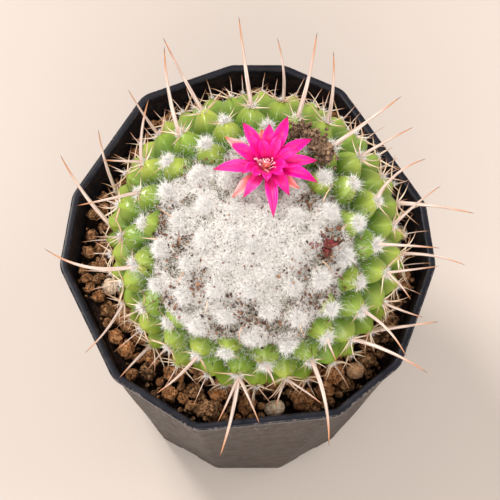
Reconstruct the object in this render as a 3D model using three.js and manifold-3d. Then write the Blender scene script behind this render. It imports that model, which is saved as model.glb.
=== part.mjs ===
// A round cactus in a small soft plastic pot, with clay granules on the soil, a woolly
// crown, one star flower, a dried flower and a clod of peat lying between the tubercles.
// Millimetres, +Z up, +Y away from the viewer, origin at the centre of the pot's foot.
import * as THREE from "three";
import { ConvexHull } from "three/addons/math/ConvexHull.js";
import { mergeVertices } from "three/addons/utils/BufferGeometryUtils.js";
import Module from "manifold-3d";

const wasm = await Module();
wasm.setup();

// ---------------------------------------------------------------- driving dimensions

const GAP = 0.3; // clear space between pieces that touch

const POT = {
  height: 88,
  wall: 1.2,
  floor: 1.6,
  footReach: 31.2, // from the centre line to each side of the foot, a true twelve-sided outline
  footChamfer: 0.8,
  cornerRadius: 5.5,
  cornerPoints: 3,
  lip: { height: 2.8, proud: 0.7, rounding: 0.4 },
  drain: { radius: 3, height: 3.4, inset: 1.2 },
};

// The rim is twelve-sided too, and a little out of true, as soft plastic is: each side's
// outward bearing in degrees, and its distance from the centre line.
const RIM_SIDES = [
  [8, 44.5],
  [33.5, 42.5],
  [66, 47.5],
  [90, 48],
  [110, 46.5],
  [147, 43.5],
  [171, 44.5],
  [205, 43.5],
  [237, 45.5],
  [276, 44.5],
  [310, 46.5],
  [341, 44.5],
];
const DRAINED_SIDES = [0, 2, 4, 6, 8, 10];

const SOIL = {
  level: 77,
  granules: 170,
  granuleRadius: [2, 3],
  granuleSink: 0.25, // share of its radius that a granule's centre stands above the soil
  spacing: 0.88, // share of the two radii that neighbours keep between their centres
};

// Pale stones among the granules: x, y and radius.
const STONES = [
  [6.5, -37.4, 2.5],
  [-33.6, -6.5, 2.1],
  [37.6, 7.5, 2.1],
  [26, -28, 2.3],
];

// The plant leans forward; its areoles follow the golden angle outward from the crown.
const CACTUS = {
  centre: [2, 1.2, 90],
  leanForward: 21.5,
  coreRadius: 29,
  tipRadius: 36,
  firstBearing: 101.6,
  turn: 137.508,
  areolesToEquator: 111.4,
  spread: 0.672,
  lowestPolar: 132,
  buriedFrom: 75, // tubercles fade out between these two heights above the ground
  freeFrom: 79,
};
const TUBERCLE = {
  puffHeight: 0.9, // of the tuft of wool on its tip
  shoulderReach: 0.62, // share of the way from the tip to the valleys round it
  shoulderShare: 0.84,
  furrowShare: 0.16, // height left in the furrow between two neighbours
};
const FOOT_RINGS = [
  [146, 9],
  [163, 5],
]; // polar angle and number of the plain points that close the buried base

const WOOL = {
  radius: 35.2, // between the tufts
  tuft: 1.6, // height of a tuft over its surroundings
  tuftRadius: 2.3,
  tuftSides: 5,
  edge: 45.5, // polar angle of its margin
  edgeForward: 4, // how much further it comes down in front
  edgeLeft: 4.5, // and on the left, about the bearing 192
  edgeWave: 2.5,
  fade: 9, // width of the band in which the tubercles rise out of it
  buried: 4, // depth below the skin at which its surface runs on, beyond the margin
};

const SPINE = {
  radius: 0.75,
  root: 1.6,
  polar: [58, 106], // areoles that carry a spine of their own
  short: { length: [6, 9.5], radius: 0.45 },
  lowest: 82, // height above the ground of the lowest areole with spines
  leastLift: 5.5, // of the tubercle that carries it
};
const RADIAL = { radius: 0.24, length: [5, 8], splay: 58, polar: [52, 100] };

// The long spines in view: areole, bearing and rise in degrees about the plant's axis,
// length, and how far its middle bows to the left as seen from its root. An areole that isn't
// here has one short spine along its own axis.
const LONG_SPINES = [
  [63, 100, 16, 21.5, 0.9],
  [76, 118, 30, 22.5, 0],
  [68, 98, 16, 22, 0],
  [81, 95, 33, 17.5, -1],
  [60, 77, 16, 21.5, -0.4],
  [73, 86, 30, 19, -0.7],
  [52, 36, 16, 20.5, 0],
  [65, 30, 33, 16.5, 0],
  [57, 42, 33, 17.5, 1.6],
  [70, 42, 33, 17, 0.3],
  [91, -7, 20, 19, 0.3],
  [83, -8, 30, 17.5, 1.3],
  [49, -2, 33, 17, 0],
  [62, 9, 35, 15, 0],
  [62, -48, 40, 11, 0.7],
  [75, -19, 38, 12, 0],
  [88, 10, 25, 17.5, 0.3],
  [54, -45, 33, 17, 1.1],
  [67, -23, 16, 20, 1],
  [59, -78, 18, 21, 1.3],
  [46, -68, 50, 9, 0],
  [64, -103, 18, 20.5, 0.4],
  [64, -115, 40, 15, 0],
  [64, -64, 40, 15.5, 0],
  [51, -64, 55, 9, 0],
  [72, -32, 40, 13.5, 0],
  [72, -112, 50, 10, 0],
  [56, -139, 38, 16, 0.4],
  [103, -136, 49, 15.5, 0],
  [95, -127, 33, 17, 0.8],
  [53, 169, 18, 22, 2.5],
  [100, 125, 16, 20.5, 1],
  [113, 105, 30, 17.5, 0.6],
  [58, -168, 33, 17, 0],
  [71, 83, 30, 17.5, 0.7],
  [71, 177, 40, 12.5, 0],
  [84, 123, 40, 16.5, 0],
];
// Slim yellow spines that stand out of the wool: bearing, polar angle and length.
const WOOL_SPINES = [
  [162, 36, 6],
  [33, 31, 7],
  [-156, 23, 5],
  [-21, 25, 6],
];

const FLOWER = {
  bearing: 83,
  polar: 33,
  axisPolar: 15, // the bloom turns up towards the light
  axil: [9, 15.5], // it grows from an axil: tubercles rise between these angles from it
  tubeRadius: 1.7,
  tubeFlare: 2.6,
  tubeLength: 8,
  petalWidth: 3.7,
  petalThickness: 0.7,
  throat: 1.1, // where the petals' roots stand
};
// Petals of one flower by layer: bearing and reach of each tip from the centre.
const PETALS = {
  outer: {
    rise: 4.6,
    droop: 2.4,
    root: -0.6,
    tips: [
      [62, 13],
      [86, 10.2],
      [118, 11.8],
      [151, 10],
      [-174, 12.4],
      [-122, 9.4],
      [-79, 12.4],
      [-50, 9],
      [-15, 12.6],
      [4, 12],
      [31, 12.6],
    ],
  },
  inner: {
    rise: 6.2,
    droop: 0.9,
    root: 0,
    tips: [
      [128, 8.4],
      [60, 7.2],
      [24, 8.2],
      [-160, 6.9],
      [100, 5.8],
      [-8, 5.6],
      [-137, 5.4],
      [-90, 5.4],
      [-45, 5.6],
    ],
  },
  sepal: {
    rise: 3,
    droop: 1.6,
    root: -1.2,
    tips: [
      [146, 12],
      [-137, 11],
      [-37, 9.4],
      [98, 9],
    ],
  },
};
const STAMENS = { count: 16, discRadius: 0.95, discHeight: 1, length: 3.6, radius: 0.3, splay: 26 };

const DRIED_FLOWER = { bearing: -1, polar: 26, core: 1.5, lobes: 6, lobeLength: 3.4 };
// Lumps of the peat clod: bearing, polar angle, height over the core and radius.
const CLOD = [
  [71, 51, 7.6, 1.9],
  [65, 49.5, 8, 2.2],
  [59, 46.5, 8.4, 2.9],
  [53, 45.5, 8.6, 3],
];

const COLOURS = {
  pot: [0x2b2b2e, 0.55],
  soil: [0x6b432c, 0.95],
  stone: [0xd8c8b4, 0.9],
  cactus: [0x7fa850, 0.45],
  wool: [0xece7e2, 1],
  petal: [0xf0169a, 0.5],
  stamen: [0xf6b7c9, 0.6],
  dried: [0x5a2a2c, 0.9],
  clod: [0x5c3b28, 1],
};

// ---------------------------------------------------------------- small helpers

const radians = THREE.MathUtils.degToRad;
const { smoothstep, lerp } = THREE.MathUtils;
const UP = new THREE.Vector3(0, 0, 1);

// A repeatable stream of numbers between 0 and 1.
function randomStream(seed) {
  let state = seed >>> 0;
  return () => {
    state = (state + 0x6d2b79f5) >>> 0;
    let t = Math.imul(state ^ (state >>> 15), state | 1);
    t ^= t + Math.imul(t ^ (t >>> 7), t | 61);
    return ((t ^ (t >>> 14)) >>> 0) / 4294967296;
  };
}

// A unit direction about the plant's axis, from its bearing and polar angle in degrees.
function direction(bearing, polar) {
  const [b, p] = [radians(bearing), radians(polar)];
  return new THREE.Vector3(Math.sin(p) * Math.cos(b), Math.sin(p) * Math.sin(b), Math.cos(p));
}

// The direction at an angle from another one, turned about it.
function besides(axis, angle, turn) {
  const reference = Math.abs(axis.z) > 0.99 ? new THREE.Vector3(1, 0, 0) : UP;
  const across = new THREE.Vector3().crossVectors(reference, axis);
  const along = new THREE.Vector3().crossVectors(axis, across.normalize());
  return axis
    .clone()
    .multiplyScalar(Math.cos(angle))
    .addScaledVector(across, Math.sin(angle) * Math.cos(turn))
    .addScaledVector(along, Math.sin(angle) * Math.sin(turn));
}

function geometryOf(points, triangles) {
  const geometry = new THREE.BufferGeometry().setFromPoints(points);
  geometry.setIndex(triangles.flat());
  return geometry;
}

function solidOf(geometry) {
  const bare = geometry.clone();
  bare.deleteAttribute("normal");
  bare.deleteAttribute("uv");
  const merged = mergeVertices(bare, 1e-4);
  return new wasm.Manifold(
    new wasm.Mesh({
      numProp: 3,
      vertProperties: new Float32Array(merged.attributes.position.array),
      triVerts: new Uint32Array(merged.index.array),
    }),
  );
}

const joined = (solids) => wasm.Manifold.union(solids);

// The largest body of a solid: cutting can leave loose scraps.
function largest(solid) {
  return solid.decompose().sort((a, b) => b.volume() - a.volume())[0];
}

function meshOf(name, solid, [colour, roughness]) {
  const made = solid.getMesh();
  const geometry = new THREE.BufferGeometry();
  const positions = new Float32Array(made.numVert * 3);
  for (let i = 0; i < made.numVert; i++)
    positions.set(made.vertProperties.subarray(i * made.numProp, i * made.numProp + 3), i * 3);
  geometry.setAttribute("position", new THREE.BufferAttribute(positions, 3));
  geometry.setIndex(new THREE.BufferAttribute(new Uint32Array(made.triVerts), 1));
  geometry.computeVertexNormals();
  const look = { color: colour, roughness, metalness: 0, flatShading: true };
  const mesh = new THREE.Mesh(geometry, new THREE.MeshStandardMaterial(look));
  mesh.name = name;
  return mesh;
}

// ---------------------------------------------------------------- pot and soil

// A twelve-sided outline with rounded corners, drawn in by an inset, counter-clockwise.
function outline(sides, cornerRadius, inset) {
  const radius = Math.max(cornerRadius - inset, 0.8);
  const points = [];
  sides.forEach(([bearing, reach], i) => {
    const [next, nextReach] = sides[(i + 1) % sides.length];
    const a = radians(bearing);
    const b = radians(next < bearing ? next + 360 : next);
    // Moved in by the corner's radius, the two sides cross at the centre of its arc.
    const p = reach - inset - radius;
    const q = nextReach - inset - radius;
    const x = (p * Math.sin(b) - q * Math.sin(a)) / Math.sin(b - a);
    const y = (q * Math.cos(a) - p * Math.cos(b)) / Math.sin(b - a);
    for (let k = 0; k < POT.cornerPoints; k++) {
      const t = lerp(a, b, k / (POT.cornerPoints - 1));
      points.push(new THREE.Vector2(x + radius * Math.cos(t), y + radius * Math.sin(t)));
    }
  });
  return points;
}

const FOOT_SIDES = RIM_SIDES.map((_, i) => [(360 * i) / RIM_SIDES.length, POT.footReach]);
const footCorner = (POT.cornerRadius * POT.footReach) / 45;

// The pot's outline at a height, straight from the foot's to the rim's.
function outlineAt(inset, z) {
  const foot = outline(FOOT_SIDES, footCorner, inset);
  const rim = outline(RIM_SIDES, POT.cornerRadius, inset);
  return foot.map((point, i) => {
    const p = point.lerp(rim[i], z / POT.height);
    return new THREE.Vector3(p.x, p.y, z);
  });
}

// Distance from a point to the nearest side, inside the outline at its height.
function roomInside(x, y, z) {
  const room = RIM_SIDES.map(([bearing, reach], i) => {
    const b = radians(lerp(FOOT_SIDES[i][0], bearing, z / POT.height));
    return lerp(POT.footReach, reach, z / POT.height) - x * Math.cos(b) - y * Math.sin(b);
  });
  return Math.min(...room);
}

// A closed solid through outlines that run from under the centre outward, up and back in.
function loft(stations) {
  const rings = stations.map(([inset, z]) => outlineAt(inset, z));
  const count = rings[0].length;
  const points = rings.flat();
  const triangles = [];
  for (let i = 0; i < rings.length - 1; i++) {
    // The twisted flats are folded the same way inside and out, so that walls keep apart.
    const rising = stations[i + 1][1] > stations[i][1];
    for (let j = 0; j < count; j++) {
      const [a, b] = [i * count + j, i * count + ((j + 1) % count)];
      if (rising) triangles.push([a, b, b + count], [a, b + count, a + count]);
      else triangles.push([a, b, a + count], [b, b + count, a + count]);
    }
  }
  const first = points.push(new THREE.Vector3(0, 0, stations[0][1])) - 1;
  const last = points.push(new THREE.Vector3(0, 0, stations.at(-1)[1])) - 1;
  for (let j = 0; j < count; j++) {
    const next = (j + 1) % count;
    const top = (rings.length - 1) * count;
    triangles.push([first, next, j], [last, top + j, top + next]);
  }
  return solidOf(geometryOf(points, triangles));
}

function drainSlot(side) {
  const [bearing, reach] = FOOT_SIDES[side];
  const distance = reach - POT.lip.proud - POT.drain.inset;
  const slot = new THREE.CylinderGeometry(POT.drain.radius, POT.drain.radius, POT.drain.height + 1, 10);
  slot.rotateX(Math.PI / 2);
  const b = radians(bearing);
  slot.translate(distance * Math.cos(b), distance * Math.sin(b), (POT.drain.height - 1) / 2);
  return solidOf(slot);
}

function potSolid() {
  const { height, wall, floor, footChamfer, lip } = POT;
  const shell = loft([
    [lip.proud + footChamfer, 0],
    [lip.proud, footChamfer],
    [lip.proud, height - lip.height],
    [0, height - lip.height + 0.05],
    [0, height - lip.rounding],
    [lip.rounding, height],
    [lip.proud + wall - lip.rounding, height],
    [lip.proud + wall, height - lip.rounding],
    [lip.proud + wall, SOIL.level],
    [lip.proud + wall, floor],
  ]);
  return shell.subtract(joined(DRAINED_SIDES.map(drainSlot)));
}

// An uneven lump: an icosahedron with each corner drawn in or out.
function lump(x, y, z, radius, random, detail = 0) {
  const shape = mergeVertices(bareIcosahedron(radius, detail), 1e-4);
  const corners = shape.attributes.position;
  const [wide, deep, high] = [lerp(0.8, 1.15, random()), lerp(0.8, 1.15, random()), lerp(0.75, 1, random())];
  const squash = new THREE.Vector3(wide, deep, high);
  const turn = new THREE.Euler(random() * 6, random() * 6, random() * 6);
  for (let i = 0; i < corners.count; i++) {
    const corner = new THREE.Vector3().fromBufferAttribute(corners, i);
    corner.multiplyScalar(lerp(0.86, 1.12, random())).applyEuler(turn).multiply(squash);
    corners.setXYZ(i, corner.x + x, corner.y + y, corner.z + z);
  }
  return solidOf(shape);
}

function bareIcosahedron(radius, detail) {
  const shape = new THREE.IcosahedronGeometry(radius, detail);
  shape.deleteAttribute("normal");
  shape.deleteAttribute("uv");
  return shape;
}

// Places for the granules: spread over the open soil by a seeded draw, none crowding another.
function granulePlaces(random) {
  const places = [];
  const wallInset = POT.lip.proud + POT.wall + GAP;
  const [x0, y0, z0] = CACTUS.centre;
  for (let tries = 0; tries < 6000 && places.length < SOIL.granules; tries++) {
    const x = lerp(-46, 46, random());
    const y = lerp(-46, 48, random());
    const radius = lerp(...SOIL.granuleRadius, random());
    const z = SOIL.level + radius * SOIL.granuleSink;
    const fromPlant = Math.hypot(x - x0, y - y0, z - z0);
    if (roomInside(x, y, z) - wallInset < radius * 1.25) continue;
    if (fromPlant < CACTUS.tipRadius + radius * 0.3 - 3.4) continue;
    if (STONES.some(([sx, sy, sr]) => Math.hypot(x - sx, y - sy) < (sr + radius) * 0.8)) continue;
    if (places.some((p) => Math.hypot(x - p.x, y - p.y) < (p.radius + radius) * SOIL.spacing)) continue;
    places.push({ x, y, z, radius });
  }
  return places;
}

function soilSolid() {
  const random = randomStream(7);
  const inset = POT.lip.proud + POT.wall + GAP;
  const bed = loft([
    [inset, POT.floor + GAP],
    [inset, SOIL.level],
  ]);
  const granules = granulePlaces(random).map((p) => lump(p.x, p.y, p.z, p.radius, random));
  return joined([bed, ...granules]);
}

function stoneSolid([x, y, radius], grow) {
  const random = randomStream(Math.round(1000 + x * 10));
  return lump(x, y, SOIL.level + 1.1, radius + grow, random, 1);
}

// ---------------------------------------------------------------- the plant's form

const plantTurn = new THREE.Matrix4().makeRotationX(radians(CACTUS.leanForward));
const plantPlace = new THREE.Matrix4().makeTranslation(...CACTUS.centre).multiply(plantTurn);

const onPlant = (unit, radius) => unit.clone().multiplyScalar(radius);
const inWorld = (point) => point.clone().applyMatrix4(plantPlace);

const flowerUnit = direction(FLOWER.bearing, FLOWER.polar);

// The margin of the wool at a bearing in degrees: lower in front, and wavy.
function woolEdge(bearing) {
  const b = radians(bearing);
  const leftward = WOOL.edgeLeft * Math.cos(b - radians(192));
  return WOOL.edge + leftward - WOOL.edgeForward * Math.sin(b) + WOOL.edgeWave * Math.sin(5 * b + 1);
}

// Every areole of the spiral: its direction, and how far its tubercle stands out.
function makeAreoles() {
  const made = [];
  for (let n = 0; ; n++) {
    const polar = 90 * ((n + 0.5) / CACTUS.areolesToEquator) ** CACTUS.spread;
    if (polar > CACTUS.lowestPolar) return made;
    const bearing = CACTUS.firstBearing + CACTUS.turn * n;
    const unit = direction(bearing, polar);
    const height = inWorld(onPlant(unit, CACTUS.tipRadius)).z;
    const edge = woolEdge(bearing);
    const free = smoothstep(height, CACTUS.buriedFrom, CACTUS.freeFrom);
    const rise = free * smoothstep(polar, edge - WOOL.fade, edge + 1);
    const room = smoothstep(unit.angleTo(flowerUnit), ...FLOWER.axil.map(radians));
    const lift = rise * room * (CACTUS.tipRadius - CACTUS.coreRadius);
    made.push({ n, bearing, polar, unit, height, lift });
  }
}
const areoles = makeAreoles();

const footPoints = [
  ...FOOT_RINGS.flatMap(([polar, count]) =>
    Array.from({ length: count }, (_, i) => direction((360 * i) / count + polar, polar)),
  ),
  direction(0, 180),
];

// The triangles of the closed surface whose corners lie in the given directions.
function trianglesRound(units) {
  const number = new Map(units.map((unit, i) => [unit, i]));
  return new ConvexHull().setFromPoints(units).faces.map((face) => {
    const edge = face.edge;
    return [edge, edge.next, edge.prev].map((e) => number.get(e.head().point));
  });
}

const skinUnits = [...areoles.map((a) => a.unit), ...footPoints];
const neighbourhoods = trianglesRound(skinUnits);

// The valleys lie between each three neighbouring areoles.
const valleys = neighbourhoods.map(([a, b, c]) =>
  new THREE.Vector3()
    .crossVectors(skinUnits[b].clone().sub(skinUnits[a]), skinUnits[c].clone().sub(skinUnits[a]))
    .normalize(),
);
const towards = (from, to, share) => from.clone().lerp(to, share).normalize();

// A closed solid round the plant's centre, from directions with a radius each.
function starSolid(corners) {
  const units = corners.map((corner) => corner.unit);
  const points = corners.map((corner) => inWorld(onPlant(corner.unit, corner.radius)));
  return solidOf(geometryOf(points, trianglesRound(units)));
}

// Directions in a ring round an areole, at a distance over its tip.
function ringRound(areole, distance, sides, turn) {
  return Array.from({ length: sides }, (_, i) =>
    besides(areole.unit, distance / CACTUS.tipRadius, turn + (2 * Math.PI * i) / sides),
  );
}

// The skin: a smooth crown and foot, and a tubercle with a tuft of wool on each areole.
function skinCorners(grow) {
  const corners = [];
  const put = (unit, radius) => corners.push({ unit, radius: radius + grow });
  const core = CACTUS.coreRadius;
  const liftOf = (i) => (i < areoles.length && areoles[i].lift >= 1 ? areoles[i].lift : 0);
  for (const { lift, unit } of areoles) put(unit, core + lift + (lift < 1 ? 0 : TUBERCLE.puffHeight));
  for (const unit of [...valleys, ...footPoints]) put(unit, core);
  neighbourhoods.forEach((corner, t) =>
    corner.forEach((i, k) => {
      const shoulder = towards(skinUnits[i], valleys[t], TUBERCLE.shoulderReach);
      if (liftOf(i) > 0) put(shoulder, core + liftOf(i) * TUBERCLE.shoulderShare);
      // Each furrow is shared by two triangles, so it is made from one side only.
      const other = corner[(k + 1) % 3];
      const lift = Math.min(liftOf(i), liftOf(other));
      const furrow = towards(skinUnits[i], skinUnits[other], 0.5);
      if (i < other && lift > 0) put(furrow, core + lift * TUBERCLE.furrowShare);
    }),
  );
  return corners;
}

// A three-sided tapering needle, rooted inside what it grows from.
function needle(base, aim, length, radius, root, bend) {
  const start = base.clone().addScaledVector(aim, -root);
  const middle = base
    .clone()
    .addScaledVector(aim, length * 0.55)
    .add(bend);
  const stations = bend.lengthSq() > 0 ? [[start, radius], [middle, radius * 0.7]] : [[start, radius]];
  const side = new THREE.Vector3().crossVectors(aim, UP).normalize();
  const other = new THREE.Vector3().crossVectors(aim, side);
  const points = stations.flatMap(([centre, size]) =>
    [0, 1, 2].map((k) => {
      const t = (2 * Math.PI * k) / 3;
      return centre
        .clone()
        .addScaledVector(side, size * Math.cos(t))
        .addScaledVector(other, size * Math.sin(t));
    }),
  );
  const tip = points.push(base.clone().addScaledVector(aim, length)) - 1;
  const triangles = [[0, 2, 1]];
  for (let k = 0; k < 3; k++) {
    const next = (k + 1) % 3;
    const last = (stations.length - 1) * 3;
    if (stations.length > 1) triangles.push([k, next, 3 + next], [k, 3 + next, 3 + k]);
    triangles.push([last + k, last + next, tip]);
  }
  return solidOf(geometryOf(points, triangles));
}

// Whether a needle keeps clear of the pot, the granules and the clod.
function standsClear(base, aim, length) {
  for (const share of [0, 0.3, 0.55, 0.8, 1]) {
    const p = inWorld(base.clone().addScaledVector(aim, length * share));
    if (p.z < SOIL.level + 4.6) return false;
    if (p.z < POT.height + 1.5 && roomInside(p.x, p.y, Math.min(p.z, POT.height)) < 4) return false;
    for (const [bearing, polar, height, radius] of CLOD) {
      const centre = inWorld(onPlant(direction(bearing, polar), CACTUS.coreRadius + height));
      if (p.distanceTo(centre) < radius * 1.25 + 0.8) return false;
    }
  }
  return true;
}

// A needle given in the plant's frame, as a solid in the part's frame.
function plantNeedle(base, aim, length, radius, root, bend = new THREE.Vector3()) {
  const turned = aim.clone().transformDirection(plantPlace);
  const bent = bend.clone().applyMatrix4(plantTurn);
  return needle(inWorld(base), turned, length, radius, root, bent);
}

const within = (value, [low, high]) => value >= low && value <= high;

// Every spine to be grown: the listed ones, then a short one on each other outer areole.
function aimedSpines(random) {
  const aimed = LONG_SPINES.map(([n, bearing, rise, length, bow]) => ({
    areole: areoles[n],
    aim: direction(bearing, 90 - rise),
    bend: direction(bearing + 90, 90).multiplyScalar(bow),
    length,
    radius: SPINE.radius,
  }));
  const listed = new Set(LONG_SPINES.map(([n]) => n));
  for (const areole of areoles)
    if (within(areole.polar, SPINE.polar) && !listed.has(areole.n)) {
      const aim = besides(areole.unit, radians(14) * random(), 6 * random());
      const length = lerp(...SPINE.short.length, random());
      aimed.push({ areole, aim, length, radius: SPINE.short.radius });
    }
  return aimed;
}

function centralSpines(random) {
  const up = UP.clone().transformDirection(plantPlace.clone().invert());
  return aimedSpines(random).flatMap(({ areole, aim, length, radius, bend }) => {
    const base = onPlant(areole.unit, CACTUS.tipRadius);
    // A low spine turns up until it passes over the rim.
    for (let tries = 0; tries < 6 && !standsClear(base, aim, length); tries++)
      aim = aim.clone().addScaledVector(up, 0.22).normalize();
    const grows = areole.lift >= SPINE.leastLift && areole.height >= SPINE.lowest;
    if (!grows || !standsClear(base, aim, length)) return [];
    return [plantNeedle(base, aim, length, radius, SPINE.root, bend)];
  });
}

function radialSpines(random) {
  return areoles.flatMap((areole) => {
    if (!within(areole.polar, RADIAL.polar) || areole.height < SPINE.lowest) return [];
    if (areole.lift < SPINE.leastLift) return [];
    const base = onPlant(areole.unit, CACTUS.tipRadius);
    const aim = besides(areole.unit, radians(RADIAL.splay), 2 * Math.PI * random());
    const length = lerp(...RADIAL.length, random());
    if (!standsClear(base, aim, length)) return [];
    return [plantNeedle(base, aim, length, RADIAL.radius, SPINE.root)];
  });
}

function cactusSolid() {
  const random = randomStream(11);
  return joined([starSolid(skinCorners(0)), ...centralSpines(random), ...radialSpines(random)]);
}

// The wool's outer surface: tufts on the crown's areoles, and buried beyond its margin.
function woolCorners(grow) {
  const corners = [];
  const buried = CACTUS.coreRadius - WOOL.buried;
  for (const areole of areoles) {
    const { unit, polar, bearing } = areole;
    if (polar > woolEdge(bearing) + 1) {
      corners.push({ unit, radius: buried });
      continue;
    }
    corners.push({ unit, radius: WOOL.radius + WOOL.tuft + grow });
    for (const side of ringRound(areole, WOOL.tuftRadius, WOOL.tuftSides, radians(bearing)))
      corners.push({ unit: side, radius: WOOL.radius + WOOL.tuft * 0.55 + grow });
  }
  for (const unit of valleys) {
    const bearing = THREE.MathUtils.radToDeg(Math.atan2(unit.y, unit.x));
    const polar = THREE.MathUtils.radToDeg(Math.acos(unit.z));
    corners.push({ unit, radius: polar > woolEdge(bearing) + 3 ? buried : WOOL.radius + grow });
  }
  for (const unit of footPoints) corners.push({ unit, radius: buried });
  return corners;
}

function woolSolid() {
  const spines = WOOL_SPINES.map(([bearing, polar, length]) => {
    const unit = direction(bearing, polar);
    return plantNeedle(onPlant(unit, WOOL.radius), direction(bearing, polar + 28), length, 0.3, 1.5);
  });
  const cap = starSolid(woolCorners(0)).subtract(starSolid(skinCorners(GAP)));
  return joined([largest(cap), ...spines]);
}

// ---------------------------------------------------------------- flower

const flowerPlace = plantPlace
  .clone()
  .multiply(new THREE.Matrix4().makeTranslation(onPlant(flowerUnit, CACTUS.coreRadius + GAP + 0.5)))
  .multiply(
    new THREE.Matrix4().makeRotationFromQuaternion(
      new THREE.Quaternion().setFromUnitVectors(UP, direction(FLOWER.bearing, FLOWER.axisPolar)),
    ),
  );

// One petal: a thin blade with a raised midrib, standing up from the throat and arching out.
function petal(bearing, reach, { rise, droop, root }) {
  const stations = [0, 0.24, 0.5, 0.76];
  const widths = [0.34, 0.72, 1, 0.74];
  const half = (FLOWER.petalWidth / 2) * lerp(0.82, 1, reach / 13);
  const out = (t) => FLOWER.throat + (reach - FLOWER.throat) * t;
  const arch = (t) => rise * Math.sin(Math.min(t * 1.9, Math.PI / 2)) - droop * t ** 3;
  const b = radians(bearing);
  const place = (t, side, lift) =>
    new THREE.Vector3(
      out(t) * Math.cos(b) - side * Math.sin(b),
      out(t) * Math.sin(b) + side * Math.cos(b),
      FLOWER.tubeLength + root + arch(t) + lift,
    );
  const thick = FLOWER.petalThickness / 2;
  const points = stations.flatMap((t, i) => {
    const width = half * widths[i];
    return [place(t, -width, 0.25), place(t, 0, -thick), place(t, width, 0.25), place(t, 0, thick)];
  });
  const tip = points.push(place(1, 0, 0)) - 1;
  const triangles = [
    [0, 2, 1],
    [0, 3, 2],
  ];
  for (let i = 0; i < stations.length - 1; i++)
    for (let j = 0; j < 4; j++) {
      const [a, c] = [i * 4 + j, i * 4 + ((j + 1) % 4)];
      triangles.push([a, c, c + 4], [a, c + 4, a + 4]);
    }
  for (let j = 0; j < 4; j++) {
    const last = (stations.length - 1) * 4;
    triangles.push([last + j, last + ((j + 1) % 4), tip]);
  }
  return solidOf(geometryOf(points, triangles));
}

// The tube under the petals, with a cup for the stamens.
function flowerTube(grow) {
  const { tubeRadius, tubeFlare, tubeLength } = FLOWER;
  const profile = [
    [0, -grow],
    [tubeRadius + grow, -grow],
    [tubeRadius + grow, tubeLength * 0.6],
    [tubeFlare + grow, tubeLength],
    [tubeFlare * 0.7, tubeLength + 0.5],
    [0, tubeLength + 0.5],
  ];
  const shape = new THREE.LatheGeometry(
    profile.map(([r, z]) => new THREE.Vector2(r, z)),
    10,
  );
  shape.rotateX(Math.PI / 2);
  return solidOf(shape);
}

function disc(radius, low, high) {
  const shape = new THREE.CylinderGeometry(radius, radius, high - low, 8);
  shape.rotateX(Math.PI / 2);
  shape.translate(0, 0, (low + high) / 2);
  return solidOf(shape);
}

const placed = (solid, matrix) => solid.transform(matrix.toArray());

function flowerSolid() {
  const petals = Object.values(PETALS).flatMap((layer) =>
    layer.tips.map(([bearing, reach]) => petal(bearing, reach, layer)),
  );
  const { discRadius, discHeight } = STAMENS;
  const base = FLOWER.tubeLength - discHeight;
  const cup = disc(discRadius + GAP + 0.15, base - GAP, FLOWER.tubeLength + 12);
  return placed(joined([flowerTube(0), ...petals]).subtract(cup), flowerPlace);
}

function stamenSolid() {
  const random = randomStream(5);
  const { count, discRadius, discHeight, length, radius, splay } = STAMENS;
  const base = FLOWER.tubeLength - discHeight;
  const still = new THREE.Vector3();
  const filaments = Array.from({ length: count }, (_, i) => {
    const turn = i * 2.4;
    const out = discRadius * 0.75 * Math.sqrt((i + 0.3) / count);
    const root = new THREE.Vector3(out * Math.cos(turn), out * Math.sin(turn), base + discHeight);
    const aim = besides(UP, radians(splay) * (out / discRadius) * 0.25, turn + Math.PI / 2);
    return needle(root, aim.normalize(), length * lerp(0.7, 1, random()), radius, discHeight * 0.6, still);
  });
  return placed(joined([disc(discRadius, base, base + discHeight), ...filaments]), flowerPlace);
}

// ---------------------------------------------------------------- what lies on the plant

function driedFlowerSolid() {
  const random = randomStream(3);
  const { bearing, polar, core, lobes, lobeLength } = DRIED_FLOWER;
  const unit = direction(bearing, polar);
  const height = WOOL.radius + WOOL.tuft + core * 0.9;
  const centre = inWorld(onPlant(unit, height));
  const knob = lump(centre.x, centre.y, centre.z, core, random, 0);
  const shrivelled = Array.from({ length: lobes }, (_, i) => {
    const aim = besides(unit, radians(lerp(35, 84, random())), (2 * Math.PI * i) / lobes);
    const bend = new THREE.Vector3(random() - 0.5, random() - 0.5, random() * 0.6).multiplyScalar(1.2);
    return plantNeedle(onPlant(unit, height), aim, lobeLength * lerp(0.7, 1, random()), 0.8, 0.3, bend);
  });
  return joined([knob, ...shrivelled]);
}

function clodSolid() {
  const random = randomStream(21);
  const lumps = CLOD.map(([bearing, polar, height, radius]) => {
    const centre = inWorld(onPlant(direction(bearing, polar), CACTUS.coreRadius + height));
    return lump(centre.x, centre.y, centre.z, radius, random, 1);
  });
  return joined(lumps);
}

// ---------------------------------------------------------------- the assembly

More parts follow.
